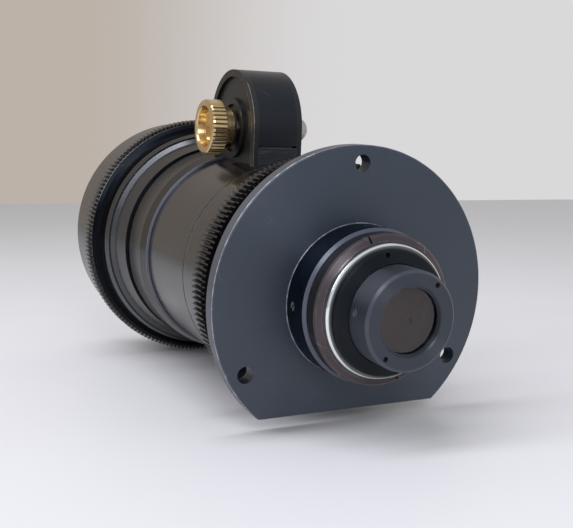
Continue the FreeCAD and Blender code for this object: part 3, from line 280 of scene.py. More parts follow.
@dataclass(frozen=True)
class TurnedMetal:
    """A machined metal with turning marks, uneven tone, rubbed edges and light scratches; on several finishes
    some of its bright rings, bright edges and toned bands are painted highlights and painted shade.
    """

    name: str
    colour: Colour
    second_colour: Colour
    worn_and_lit_colour: Colour
    metallic: float
    roughness: float
    turned: TurnedAbout = TurnedAbout.LENS_AXIS
    marks: float = 0.25
    mark_pitch: float = 0.35 * MM
    wear: float = 0.5
    edge_radius: float = 0.3 * MM
    worn_and_lit_box: tuple[tuple[float, float], ...] = ()
    worn_and_lit_circles: tuple[WornAndLitCircle, ...] = ()
    zones: tuple[Zone, ...] = ()
    scratched: float = 0.3
    cross_shaft: tuple[float, float] = (110.4 * MM, 66.6 * MM)
    specular: float = 1.0
    tint: Colour = (1.0, 1.0, 1.0)
    anisotropy: float = 0.0

    def radius_from(self, graph: Graph, across: object, above: object) -> Socket:
        """The distance from a line, from the two distances across it."""
        squares = [graph.maths("MULTIPLY", part, part) for part in (across, above)]
        return graph.maths("SQRT", graph.maths("ADD", *squares))

    def marks_place(self, graph: Graph, place: Socket) -> Socket:
        """Where a point lies across the tool's path.

        Args:
            graph: the graph to add to.
            place: the point on the surface.

        Returns:
            A vector that changes across the turning marks and hardly along them.
        """
        x, y, z = graph.split(place)
        if self.turned is TurnedAbout.LENS_AXIS:
            return graph.vector(self.radius_from(graph, x, z), y, 0.0)
        if self.turned is TurnedAbout.CROSS_SHAFT:
            across = graph.maths("SUBTRACT", y, self.cross_shaft[0])
            above = graph.maths("SUBTRACT", z, self.cross_shaft[1])
            return graph.vector(self.radius_from(graph, across, above), x, 0.0)
        return graph.vector(graph.maths("MULTIPLY", x, 0.03), graph.maths("MULTIPLY", y, 0.03), z)

    def lay_marks(self, graph: Graph, place: Socket) -> None:
        """Draws the gloss out across the turning marks.

        Args:
            graph: the graph to add to.
            place: the point on the surface.
        """
        if not self.anisotropy or self.turned is TurnedAbout.NOTHING:
            return
        about_lens = self.turned is TurnedAbout.LENS_AXIS
        centre = (0.0, 0.0, 0.0) if about_lens else (0.0, *self.cross_shaft)
        line = (0.0, 1.0, 0.0) if about_lens else (1.0, 0.0, 0.0)
        outward = graph.add("ShaderNodeVectorMath", operation="SUBTRACT")
        graph.join(place, outward.inputs[0])
        outward.inputs[1].default_value = centre
        along = graph.add("ShaderNodeVectorMath", operation="CROSS_PRODUCT")
        graph.join(outward.outputs[0], along.inputs[0])
        along.inputs[1].default_value = line
        unit = graph.add("ShaderNodeVectorMath", operation="NORMALIZE")
        graph.join(along.outputs[0], unit.inputs[0])
        turned = graph.add(
            "ShaderNodeVectorTransform", vector_type="VECTOR", convert_from="OBJECT", convert_to="WORLD")
        graph.join(unit.outputs[0], turned.inputs[0])
        graph.join(turned.outputs[0], graph.shader.inputs["Tangent"])
        graph.shader.inputs["Anisotropic"].default_value = self.anisotropy
        graph.shader.inputs["Anisotropic Rotation"].default_value = 0.25

    def worn_and_lit_rings(self, graph: Graph, place: Socket) -> object:
        """How bright the bright rings are at a point: rubbed metal on some finishes, a painted highlight on
        others.

        Args:
            graph: the graph to add to.
            place: the point on the surface.

        Returns:
            The share of bright metal.
        """
        x, y, z = graph.split(place)
        radius = self.radius_from(graph, x, z)
        shown: object = 0.0
        for circle in self.worn_and_lit_circles:
            out = graph.maths("SUBTRACT", radius, circle.radius)
            back = graph.maths("SUBTRACT", y, circle.y)
            away = self.radius_from(graph, out, back)
            line = graph.ramp(away, 0.4 * circle.reach, circle.reach, circle.strength, 0.0)
            shown = graph.maths("MAXIMUM", shown, line)
        return shown

    def between(self, graph: Graph, value: object, low: float, high: float) -> Socket:
        """1 between two values and 0 outside them, with soft ends.

        Args:
            graph: the graph to add to.
            value: what is tested.
            low: the lower value.
            high: the higher value.

        Returns:
            The share.
        """
        soft = 0.12 * MM
        above = graph.ramp(value, low - soft, low + soft)
        return graph.maths("MULTIPLY", above, graph.ramp(value, high - soft, high + soft, 1.0, 0.0))

    def worn_and_lit_place(self, graph: Graph, place: Socket) -> object:
        """Where the edges show bright: inside the box, or everywhere without one; on the covers the box keeps
        the bright edge, partly edge wear and partly a painted highlight, to one edge.
        """
        shown: object = 1.0
        for value, (low, high) in zip(graph.split(place), self.worn_and_lit_box):
            shown = graph.maths("MULTIPLY", shown, self.between(graph, value, low, high))
        return shown

    def zone_share(self, graph: Graph, place: Socket, zone: Zone) -> Socket:
        """How much of a zone's tone a point has.

        Args:
            graph: the graph to add to.
            place: the point on the surface.
            zone: the zone.

        Returns:
            The share.
        """
        radius, along, _ = graph.split(self.marks_place(graph, place))
        across = self.between(graph, radius, zone.inner, zone.outer)
        return graph.maths("MULTIPLY", across, self.between(graph, along, zone.start, zone.end))

    def build(self) -> bpy.types.Material:
        """Makes the material.

        Returns:
            The new material.
        """
        graph = Graph(self.name)
        place = graph.place()
        cloud = graph.noise(place, CLOUD_SCALE, 4.0)
        tone = graph.ramp(cloud, 0.35, 0.68)
        marks = graph.noise(self.marks_place(graph, place), 1.0 / self.mark_pitch, 2.0, 0.7)
        grain = graph.noise(place, GRAIN_SCALE, 2.0)
        patches = graph.ramp(graph.noise(place, PATCH_SCALE, 5.0), 0.42, 0.62)
        partly = graph.maths("ADD", graph.maths("MULTIPLY", patches, 0.7), 0.3)
        bright_edges = graph.maths("MULTIPLY", graph.ramp(graph.edge(self.edge_radius), 0.02, 0.16), self.wear)
        bright_edges = graph.maths("MULTIPLY", bright_edges, self.worn_and_lit_place(graph, place))
        # The bright rings join the rubbed edges here; on several finishes they are painted highlights.
        bright_edges = graph.maths("MAXIMUM", bright_edges, self.worn_and_lit_rings(graph, place))
        bright_edges = graph.maths("MULTIPLY", bright_edges, partly, clamp=True)
        scratches = self.scratches(graph, place)
        shown = graph.maths("MAXIMUM", bright_edges, graph.maths("MULTIPLY", scratches, self.scratched))
        plain = graph.mix(tone, self.colour, self.second_colour)
        base_rough: object = self.roughness
        metallic: object = self.metallic
        for zone in self.zones:
            share = self.zone_share(graph, place, zone)
            plain = graph.mix(share, plain, zone.colour)
            base_rough = graph.ramp(share, 0.0, 1.0, base_rough, zone.roughness)
            metallic = graph.ramp(share, 0.0, 1.0, metallic, zone.metallic)
        graph.join(graph.mix(shown, plain, self.worn_and_lit_colour), graph.shader.inputs["Base Color"])
        clouded = graph.maths("MULTIPLY", cloud, 0.1)
        rough = graph.maths("ADD", graph.maths("SUBTRACT", base_rough, 0.05), clouded)
        grooved = graph.maths("MULTIPLY", graph.maths("SUBTRACT", marks, 0.5), 0.25 * self.marks)
        rough = graph.maths("ADD", rough, grooved)
        rubbed = graph.maths("MULTIPLY", shown, 0.1)
        rough = graph.maths("SUBTRACT", rough, rubbed, clamp=True)
        graph.join(rough, graph.shader.inputs["Roughness"])
        metal = graph.maths("MAXIMUM", shown, metallic)
        graph.join(metal, graph.shader.inputs["Metallic"])
        graph.shader.inputs["Specular IOR Level"].default_value = self.specular
        graph.shader.inputs["Specular Tint"].default_value = (*self.tint, 1)
        self.lay_marks(graph, place)
        grooves = graph.maths("MULTIPLY", marks, self.marks)
        height = graph.maths("ADD", grooves, graph.maths("MULTIPLY", grain, 0.12))
        height = graph.maths("SUBTRACT", height, graph.maths("MULTIPLY", scratches, 0.3))
        graph.bump(height, 0.02 * MM, 0.5)
        return graph.material

    def scratches(self, graph: Graph, place: Socket) -> Socket:
        """A few fine scratches that run at random.

        Args:
            graph: the graph to add to.
            place: the point on the surface.

        Returns:
            1 on a scratch and 0 beside it.
        """
        bent = graph.add("ShaderNodeVectorMath", operation="MULTIPLY_ADD")
        warp = graph.add("ShaderNodeTexNoise")
        graph.join(place, warp.inputs["Vector"])
        warp.inputs["Scale"].default_value = WARP_SCALE
        graph.join(warp.outputs["Color"], bent.inputs[0])
        bent.inputs[1].default_value = (WARP_REACH, WARP_REACH, WARP_REACH)
        graph.join(place, bent.inputs[2])
        cells = graph.add("ShaderNodeTexVoronoi", feature="DISTANCE_TO_EDGE")
        graph.join(bent.outputs[0], cells.inputs["Vector"])
        cells.inputs["Scale"].default_value = SCRATCH_SCALE
        line = graph.ramp(cells.outputs["Distance"], 0.0, SCRATCH_WIDTH, 1.0, 0.0)
        thin = graph.ramp(graph.noise(place, SCRATCH_FADE_SCALE, 3.0), 0.56, 0.66)
        return graph.maths("MULTIPLY", line, thin)


@dataclass(frozen=True)
class FiledBlock:
    """The gear case's foot: black metal with file marks that run along one way."""

    name: str = "filed_black"
    colour: Colour = (0.004, 0.005, 0.008)
    mark_colour: Colour = (0.08, 0.09, 0.105)
    roughness: float = 0.42
    mark_pitch: float = 0.55 * MM

    def build(self) -> bpy.types.Material:
        """Makes the material.

        Returns:
            The new material.
        """
        graph = Graph(self.name)
        place = graph.place()
        x, y, z = graph.split(place)
        along = graph.vector(graph.maths("MULTIPLY", x, 0.05), graph.maths("MULTIPLY", y, 0.05), z)
        lines = graph.noise(along, 1.0 / self.mark_pitch, 3.0, 0.7)
        bright = graph.ramp(lines, 0.55, 0.72)
        bright_edges = graph.ramp(graph.edge(0.35 * MM), 0.02, 0.12)
        filed = graph.maths("MULTIPLY", bright, 0.55)
        shown = graph.maths("MAXIMUM", filed, graph.maths("MULTIPLY", bright_edges, 0.8))
        graph.join(graph.mix(shown, self.colour, self.mark_colour), graph.shader.inputs["Base Color"])
        rough = graph.maths("ADD", self.roughness, graph.maths("MULTIPLY", lines, 0.12))
        graph.join(rough, graph.shader.inputs["Roughness"])
        graph.bump(lines, 0.06 * MM, 0.5)
        return graph.material


@dataclass(frozen=True)
class OpticalGlass:
    """Clear coated glass with a little dust."""

    name: str
    colour: Colour = (0.86, 0.82, 0.78)
    coat_tint: Colour = (0.95, 0.82, 0.75)
    roughness: float = 0.01
    bending: float = 1.52
    specular: float = 0.3
    coat: float = 0.2
    coat_roughness: float = 0.03

    def build(self) -> bpy.types.Material:
        """Makes the material.

        Returns:
            The new material.
        """
        graph = Graph(self.name)
        place = graph.place()
        dust = graph.ramp(graph.noise(place, 700.0, 4.0), 0.66, 0.74)
        haze = graph.ramp(graph.noise(place, 60.0, 3.0), 0.55, 0.75)
        rough = graph.maths("ADD", self.roughness, graph.maths("MULTIPLY", dust, 0.03))
        rough = graph.maths("ADD", rough, graph.maths("MULTIPLY", haze, 0.01))
        graph.join(rough, graph.shader.inputs["Roughness"])
        graph.shader.inputs["Base Color"].default_value = (*self.colour, 1)
        graph.shader.inputs["Transmission Weight"].default_value = 1.0
        graph.shader.inputs["IOR"].default_value = self.bending
        graph.shader.inputs["Specular IOR Level"].default_value = self.specular
        graph.shader.inputs["Coat Weight"].default_value = self.coat
        graph.shader.inputs["Coat Roughness"].default_value = self.coat_roughness
        graph.shader.inputs["Coat Tint"].default_value = (*self.coat_tint, 1)
        return graph.material


@dataclass(frozen=True)
class FinishBook:
    """Which node wears which finish."""

    flange_black: TurnedMetal = TurnedMetal(
        "flange_black", (0.007, 0.011, 0.020), (0.011, 0.016, 0.027), (0.55, 0.55, 0.60), 0.0, 0.42,
        marks=0.5, mark_pitch=0.5 * MM, wear=0.10, anisotropy=0.7, tint=(0.84, 0.92, 1.0), scratched=0.06,
        worn_and_lit_circles=(
            WornAndLitCircle(64.0 * MM, 0.6 * MM, 0.35 * MM, 0.9),
            WornAndLitCircle(32.1 * MM, -0.2 * MM, 0.28 * MM, 0.7)),
        zones=(Zone(63.6 * MM, 66.0 * MM, 0.4 * MM, 9.0 * MM, (0.045, 0.044, 0.055), 0.0, 0.4),
               # The hub's outer side: painted shade, a dark navy mirror tone that stands for the dark
               # reflection on it.
               Zone(31.2 * MM, 32.15 * MM, -13.7 * MM, -0.3 * MM, (0.018, 0.026, 0.043), 1.0, 0.30),
               # The hub's rear chamfer: a painted highlight, a pale lavender tone all round.
               Zone(30.7 * MM, 32.5 * MM, -16.0 * MM, -13.7 * MM, (0.040, 0.042, 0.062), 0.0, 0.36)))
    cell_black: TurnedMetal = TurnedMetal(
        "cell_black", (0.002, 0.005, 0.009), (0.004, 0.008, 0.013), (0.50, 0.50, 0.55), 0.0, 0.42,
        marks=0.6, wear=0.15, anisotropy=0.85, tint=(0.86, 0.90, 1.0), scratched=0.05, specular=0.9,
        # The bevel round the rear face of the cell: a painted highlight, a paler blue tone all round.
        zones=(Zone(18.8 * MM, 20.2 * MM, -42.2 * MM, -40.8 * MM, (0.022, 0.024, 0.036), 0.0, 0.34),))
    barrel_black: TurnedMetal = TurnedMetal(
        "barrel_black", (0.004, 0.003, 0.003), (0.008, 0.007, 0.006), (0.40, 0.40, 0.42), 0.0, 0.21,
        marks=0.22, mark_pitch=0.6 * MM, wear=0.12, anisotropy=0.3, specular=0.85, scratched=0.08,
        # The bright ring beside the seam: partly edge wear, partly a painted highlight.
        worn_and_lit_circles=(WornAndLitCircle(50.9 * MM, 70.8 * MM, 0.35 * MM, 0.6),),
        # The seam groove at 71.2 mm: painted shade, a black band in the gap between the parts.
        zones=(Zone(50.0 * MM, 51.5 * MM, 71.05 * MM, 71.45 * MM, (0.0, 0.0, 0.0), 1.0, 0.6),
               # The rear-facing step face at 124 mm: a painted highlight, a pale blue-grey band.
               Zone(51.25 * MM, 52.7 * MM, 123.6 * MM, 124.25 * MM, (0.20, 0.21, 0.25), 0.8, 0.5)))
    iris_black: TurnedMetal = TurnedMetal(
        "iris_black", (0.002, 0.002, 0.003), (0.004, 0.004, 0.005), (0.30, 0.30, 0.32), 0.0, 0.30,
        marks=0.2, wear=0.08, specular=0.4)
    focus_black: TurnedMetal = TurnedMetal(
        "focus_black", (0.003, 0.004, 0.006), (0.006, 0.007, 0.009), (0.30, 0.30, 0.33), 0.0, 0.24,
        marks=0.25, wear=0.10, anisotropy=0.3, specular=0.85, scratched=0.05,
        zones=(Zone(61.8 * MM, 67.0 * MM, 171.0 * MM, 180.2 * MM, (0.006, 0.007, 0.009), 1.0, 0.30),))
    case_black: TurnedMetal = TurnedMetal(
        "case_black", (0.003, 0.004, 0.007), (0.005, 0.006, 0.010), (0.40, 0.40, 0.42), 0.0, 0.34,
        turned=TurnedAbout.NOTHING, marks=0.3, wear=0.03, specular=0.3, scratched=0.1)
    cover_black: TurnedMetal = TurnedMetal(
        "cover_black", (0.004, 0.004, 0.004), (0.007, 0.007, 0.006), (0.80, 0.80, 0.83), 0.0, 0.40,
        # The covers' rubbed edges are kept to the rear-left edge of the left cover: partly edge wear, partly
        # a painted highlight along that edge.
        turned=TurnedAbout.NOTHING, marks=0.3, wear=1.0, edge_radius=0.35 * MM, specular=0.4, scratched=0.06,
        worn_and_lit_box=((-14.0 * MM, -12.3 * MM), (60.0 * MM, 92.0 * MM), (0.0, 200.0 * MM)))
    inner_black: TurnedMetal = TurnedMetal(
        "inner_black", (0.004, 0.004, 0.004), (0.007, 0.007, 0.007), (0.10, 0.10, 0.10), 0.0, 0.6,
        wear=0.1, specular=0.5)
    lock_grey: TurnedMetal = TurnedMetal(
        "lock_grey", (0.005, 0.007, 0.010), (0.010, 0.012, 0.015), (0.55, 0.57, 0.55), 0.6, 0.30,
        marks=0.5, wear=0.12, anisotropy=0.5, specular=0.3,
        # The bright ring on the lock ring's chamfer: a painted highlight.
        worn_and_lit_circles=(WornAndLitCircle(25.3 * MM, -29.0 * MM, 0.45 * MM, 0.35),))
    bronze: TurnedMetal = TurnedMetal(
        "bronze", (0.040, 0.027, 0.030), (0.062, 0.043, 0.046), (0.80, 0.64, 0.64), 0.45, 0.38,
        marks=0.6, wear=0.2, anisotropy=0.4, specular=0.7, scratched=0.25,
        # The bright pink ring on the clamp ring's bevel: partly edge wear, partly a painted highlight.
        worn_and_lit_circles=(WornAndLitCircle(30.7 * MM, -22.3 * MM, 0.75 * MM, 0.5),),
        # The outer side of the clamp ring: painted shade, near black for the dark surroundings it reflects.
        zones=(Zone(28.0 * MM, 32.0 * MM, -21.7 * MM, -15.0 * MM, (0.005, 0.003, 0.004), 0.0, 0.30),))
    chrome: TurnedMetal = TurnedMetal(
        "chrome", (0.80, 0.80, 0.81), (0.86, 0.86, 0.86), (0.95, 0.95, 0.95), 1.0, 0.14,
        marks=0.15, wear=0.1,
        zones=(Zone(24.0 * MM, 26.6 * MM, -27.0 * MM, -24.0 * MM, (0.10, 0.105, 0.10), 0.6, 0.3),))
    brass: TurnedMetal = TurnedMetal(
        "brass", (0.58, 0.41, 0.19), (0.70, 0.53, 0.30), (0.90, 0.80, 0.60), 1.0, 0.25,
        turned=TurnedAbout.CROSS_SHAFT, marks=0.5, mark_pitch=0.4 * MM, wear=0.6, anisotropy=0.4,
        # The valleys of the knurl: painted shade, a dark brown tone in the grooves.
        zones=(Zone(12.5 * MM, 13.35 * MM, -27.4 * MM, -20.2 * MM, (0.10, 0.055, 0.025), 0.8, 0.4),))
    steel: TurnedMetal = TurnedMetal(
        "steel", (0.60, 0.60, 0.58), (0.74, 0.74, 0.72), (0.90, 0.90, 0.90), 0.7, 0.32,
        turned=TurnedAbout.CROSS_SHAFT, marks=0.4, wear=0.5)
    screw_steel: TurnedMetal = TurnedMetal(
        "screw_steel", (0.24, 0.24, 0.23), (0.50, 0.50, 0.48), (0.90, 0.90, 0.90), 0.8, 0.34,
        marks=0.2, wear=0.5,
        # The slots and the shanks under the screw faces: painted shade, near black in the hollows.
        zones=(Zone(27.0 * MM, 31.3 * MM, -8.0 * MM, -2.0 * MM, (0.008, 0.008, 0.008), 0.0, 0.6),
               Zone(16.0 * MM, 19.2 * MM, -36.0 * MM, -29.0 * MM, (0.008, 0.008, 0.008), 0.0, 0.6)))
    nut_steel: TurnedMetal = TurnedMetal(
        "nut_steel", (0.34, 0.33, 0.29), (0.46, 0.45, 0.40), (0.75, 0.74, 0.70), 1.0, 0.36,
        turned=TurnedAbout.CROSS_SHAFT, marks=0.4, wear=0.4)
    blade_steel: TurnedMetal = TurnedMetal(
        "blade_steel", (0.030, 0.031, 0.034), (0.045, 0.046, 0.050), (0.20, 0.20, 0.20), 0.8, 0.45,
        turned=TurnedAbout.NOTHING, marks=0.3, wear=0.3)
    filed: FiledBlock = FiledBlock()
    rear_glass: OpticalGlass = OpticalGlass("rear_glass", (0.30, 0.20, 0.17), (0.95, 0.78, 0.70))
    front_glass: OpticalGlass = OpticalGlass("front_glass", (0.90, 0.90, 0.86), (0.80, 0.85, 0.95))

    def worn_by(self) -> dict[str, tuple[str, ...]]:
        """The nodes of each finish.

        Returns:
            The field's name to the nodes that wear it.
        """
        blades = tuple(f"iris_blade_{number}" for number in range(1, 9))
        return {
            "flange_black": ("mounting_flange",),
            "cell_black": ("rear_lens_cell",),
            "barrel_black": ("rear_body", "main_barrel"),
            "iris_black": ("iris_gear_ring",),
            "focus_black": ("focus_ring",),
            "case_black": ("gear_case_body",),
            "cover_black": ("gear_case_left_cover", "gear_case_right_cover"),
            "filed": ("gear_case_base",),
            "lock_grey": ("cell_lock_ring",),
            "inner_black": (
                "front_cell", "front_retaining_ring", "front_spacer", "rear_spacer", "rear_inner_lock_ring",
                "rod_plate", "zoom_carriage", "iris_cam_ring", "iris_pivot_plate", "carriage_retaining_rings",
                "focus_retainer"),
            "bronze": ("clamp_ring", "shaft_bush_left", "shaft_bush_right"),
            "chrome": ("chrome_ring",),
            "brass": ("zoom_knob",),
            "steel": (
                "iris_drive_screw", "guide_rods", "zoom_rack", "rack_screws", "zoom_shaft", "zoom_pinion",
                "focus_key_pins"),
            "screw_steel": ("flange_set_screws", "cell_set_screws"),
            "nut_steel": ("shaft_dome_nut",),
            "blade_steel": blades,
            "rear_glass": ("rear_element", "rear_inner_element"),
            "front_glass": (
                "zoom_front_element", "zoom_rear_element", "front_inner_element", "front_element"),
        }

    def dress(self, nodes: dict[str, bpy.types.Object]) -> dict[str, bpy.types.Material]:
        """Puts its finish on every node.

        Args:
            nodes: the nodes of the frame.

        Returns:
            The materials by the name of their field.
        """
        made = {}
        for name, members in self.worn_by().items():
            material = getattr(self, name).build()
            made[name] = material
            for member in members:
                slots = nodes[member].material_slots
                if not slots:
                    nodes[member].data.materials.append(material)
                for slot in slots:
                    slot.material = material
        missed = set(nodes) - {m for members in self.worn_by().values() for m in members}
        if missed:
            raise ValueError(f"nodes with no finish: {sorted(missed)}")
        return made


# Pieces

def deselect() -> None:
    """Leaves edit mode and deselects everything."""
    if bpy.context.object and bpy.context.object.mode != "OBJECT":
        bpy.ops.object.mode_set(mode="OBJECT")
    bpy.ops.object.select_all(action="DESELECT")


def select(objects: Iterable[bpy.types.Object]) -> None:
    """Selects only these objects and makes the first one active.

    Args:
        objects: what to select.
    """
    deselect()
    chosen = list(objects)
    for item in chosen:
        item.select_set(True)
    bpy.context.view_layer.objects.active = chosen[0]


def settle(
        piece: bpy.types.Object, name: str, material: bpy.types.Material, body: str,
        angle: float = 35.0) -> None:
    """Finishes a new piece: its place goes into its mesh, and it gets a finish and a body to ride on.

    Args:
        piece: the new object.
        name: its name.
        material: its finish.
        body: the body that carries it.
        angle: edges sharper than this stay sharp, in degrees.
    """
    select([piece])
    bpy.ops.object.transform_apply(location=True, rotation=True, scale=True)
    bpy.ops.object.shade_smooth_by_angle(angle=math.radians(angle))
    piece.name = name
    piece.data.materials.clear()
    piece.data.materials.append(material)
    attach(piece, body)


@dataclass
class SlottedScrew:
    """A slotted screw end: a round bar with a rounded rim and a slot across its face."""

    radius: float
    length: float
    slot_width: float
    slot_depth: float
    rim: float = 0.25 * MM
    sides: int = 40

    def model(self, start: Vector, way: Vector, turn: float) -> bpy.types.Object:
        """Models one screw.

        Args:
            start: the centre of its inner end.
            way: the unit direction to its slotted face.
            turn: how far the slot is turned about the screw's own axis, in radians.

        Returns:
            The new object.
        """
        deselect()
        bpy.ops.mesh.primitive_cylinder_add(vertices=self.sides, radius=self.radius, depth=self.length)
        screw = bpy.context.object
        self.round_rim(screw)
        deselect()
        bpy.ops.mesh.primitive_cube_add(size=1.0)
        cutter = bpy.context.object
        cutter.scale = (self.radius * 3, self.slot_width, self.slot_depth * 2)
        cutter.location = (0, 0, self.length / 2)
        select([cutter])
        bpy.ops.object.transform_apply(location=True, rotation=True, scale=True)
        cut = screw.modifiers.new("slot", "BOOLEAN")
        cut.operation = "DIFFERENCE"
        cut.solver = "EXACT"
        cut.object = cutter
        select([screw])
        bpy.ops.object.modifier_apply(modifier=cut.name)
        bpy.data.objects.remove(cutter)
        facing = way.to_track_quat("Z", "X").to_matrix().to_4x4()
        middle = start + way * (self.length / 2)
        screw.matrix_world = Matrix.Translation(middle) @ facing @ Matrix.Rotation(turn, 4, "Z")
        return screw

    def round_rim(self, screw: bpy.types.Object) -> None:
        """Rounds the rim of the outer face.

        Args:
            screw: the plain bar.
        """
        select([screw])
        bpy.ops.object.mode_set(mode="EDIT")
        bpy.ops.mesh.select_all(action="DESELECT")
        bpy.ops.object.mode_set(mode="OBJECT")
        top = self.length / 2 - 1e-7
        for edge in screw.data.edges:
            ends = [screw.data.vertices[i].co.z for i in edge.vertices]
            edge.select = min(ends) > top
        bpy.ops.object.mode_set(mode="EDIT")
        bpy.ops.mesh.select_mode(type="EDGE")
        bpy.ops.mesh.bevel(offset=self.rim, segments=3, affect="EDGES")
        bpy.ops.object.mode_set(mode="OBJECT")


@dataclass
class ScrewSet:
    """Like screws that stand for one node of the frame."""

    name: str
    node: str
    body: str
    screw: SlottedScrew
    places: Sequence[tuple[Vector, Vector, float]]

    def build(self, material: bpy.types.Material) -> bpy.types.Object:
        """Models the screws and joins them.

        Args:
            material: their finish.

        Returns:
            The joined piece.
        """
        made = [self.screw.model(*place) for place in self.places]
        for screw in made:
            select([screw])
            bpy.ops.object.transform_apply(location=True, rotation=True, scale=True)
        select(made)
        if len(made) > 1:
            bpy.ops.object.join()
        piece = bpy.context.object
        settle(piece, self.name, material, self.body)
        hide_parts(self.node)
        return piece


def around_lens(angle: float) -> Vector:
    """The outward direction at an angle from +Z towards +X, in degrees."""
    turn = math.radians(angle)
    return Vector((math.sin(turn), 0, math.cos(turn)))


@dataclass
class RearScrews:
    """The slotted screws in the hub and in the rear lens cell."""

    hub_base: float = 28.02 * MM
    hub_length: float = 3.63 * MM
    hub_y: float = -4.9 * MM
    hub_radius: float = 1.98 * MM
    cell_base: float = 16.9 * MM
    cell_length: float = 2.65 * MM
    cell_y: float = -32.4 * MM
    cell_radius: float = 1.68 * MM

    def build(self, material: bpy.types.Material) -> list[bpy.types.Object]:
        """Models both sets.

        Args:
            material: their finish.

        Returns:
            The two pieces.
        """
        hub_places = []
        for number, turn in enumerate((0.3, 1.9, 0.9, 2.4)):
            way = around_lens(90.0 * number)
            hub_places.append((way * self.hub_base + Vector((0, self.hub_y, 0)), way, turn))
        cell_places = []
        for angle, turn in ((-82.0, 0.5), (38.0, 1.2), (158.0, 2.2)):
            way = around_lens(angle)
            cell_places.append((way * self.cell_base + Vector((0, self.cell_y, 0)), way, turn))
        hub_screw = SlottedScrew(self.hub_radius, self.hub_length, 0.9 * MM, 1.0 * MM)
        cell_screw = SlottedScrew(self.cell_radius, self.cell_length, 0.8 * MM, 0.9 * MM, rim=0.2 * MM)
        sets = (
            ScrewSet("hub_slotted_screws", "flange_set_screws", "lens_body", hub_screw, hub_places),
            ScrewSet("cell_slotted_screws", "cell_set_screws", "lens_body", cell_screw, cell_places),
        )
        return [screws.build(material) for screws in sets]


@dataclass
class FrontThread:
    """The fine thread in the front cell's bore, in front of the retaining ring."""

    bore: float = 57.0 * MM
    root: float = 0.015 * MM
    depth: float = 0.42 * MM
    pitch: float = 0.75 * MM
    start: float = 210.9 * MM
    turns: int = 6
    sides: int = 160

    def build(self, material: bpy.types.Material) -> bpy.types.Object:
        """Models the ridges: one profile spun about the lens axis, then copied along it.

        Args:
            material: their finish.

        Returns:
            The new piece.
        """
        rings = [self.ring(self.start + number * self.pitch) for number in range(self.turns)]
        select(rings)
        bpy.ops.object.join()
        piece = bpy.context.object
        settle(piece, "front_cell_thread", material, "front_group", angle=30)
        return piece

    def ring(self, y: float) -> bpy.types.Object:
        """Models one ridge.

        Args:
            y: where its rear flank starts.

        Returns:
            The ridge.
        """
        deselect()
        bpy.ops.mesh.primitive_circle_add(vertices=3, radius=self.pitch * 0.5, fill_type="NGON")
        ridge = bpy.context.object
        foot = self.bore + self.root
        corners = ((y, foot), (y + self.pitch / 2, self.bore - self.depth), (y + self.pitch, foot))
        for vertex, (along, radius) in zip(ridge.data.vertices, corners):
            vertex.co = (0, along, radius)
        select([ridge])
        bpy.ops.object.mode_set(mode="EDIT")
        bpy.ops.mesh.select_all(action="SELECT")
        bpy.ops.mesh.delete(type="ONLY_FACE")
        bpy.ops.mesh.select_all(action="SELECT")
        bpy.ops.mesh.spin(steps=self.sides, angle=2 * math.pi, center=(0, 0, 0), axis=(0, 1, 0))
        bpy.ops.mesh.select_all(action="SELECT")
        bpy.ops.mesh.remove_doubles(threshold=1e-6)
        bpy.ops.mesh.normals_make_consistent(inside=False)
        bpy.ops.object.mode_set(mode="OBJECT")
        return ridge


# Stage

@dataclass(frozen=True)
class Lamp:
    """A soft flat lamp, with its power in watts."""

    name: str
    place: tuple[float, float, float]
    size: tuple[float, float]
    power: float
    colour: Colour


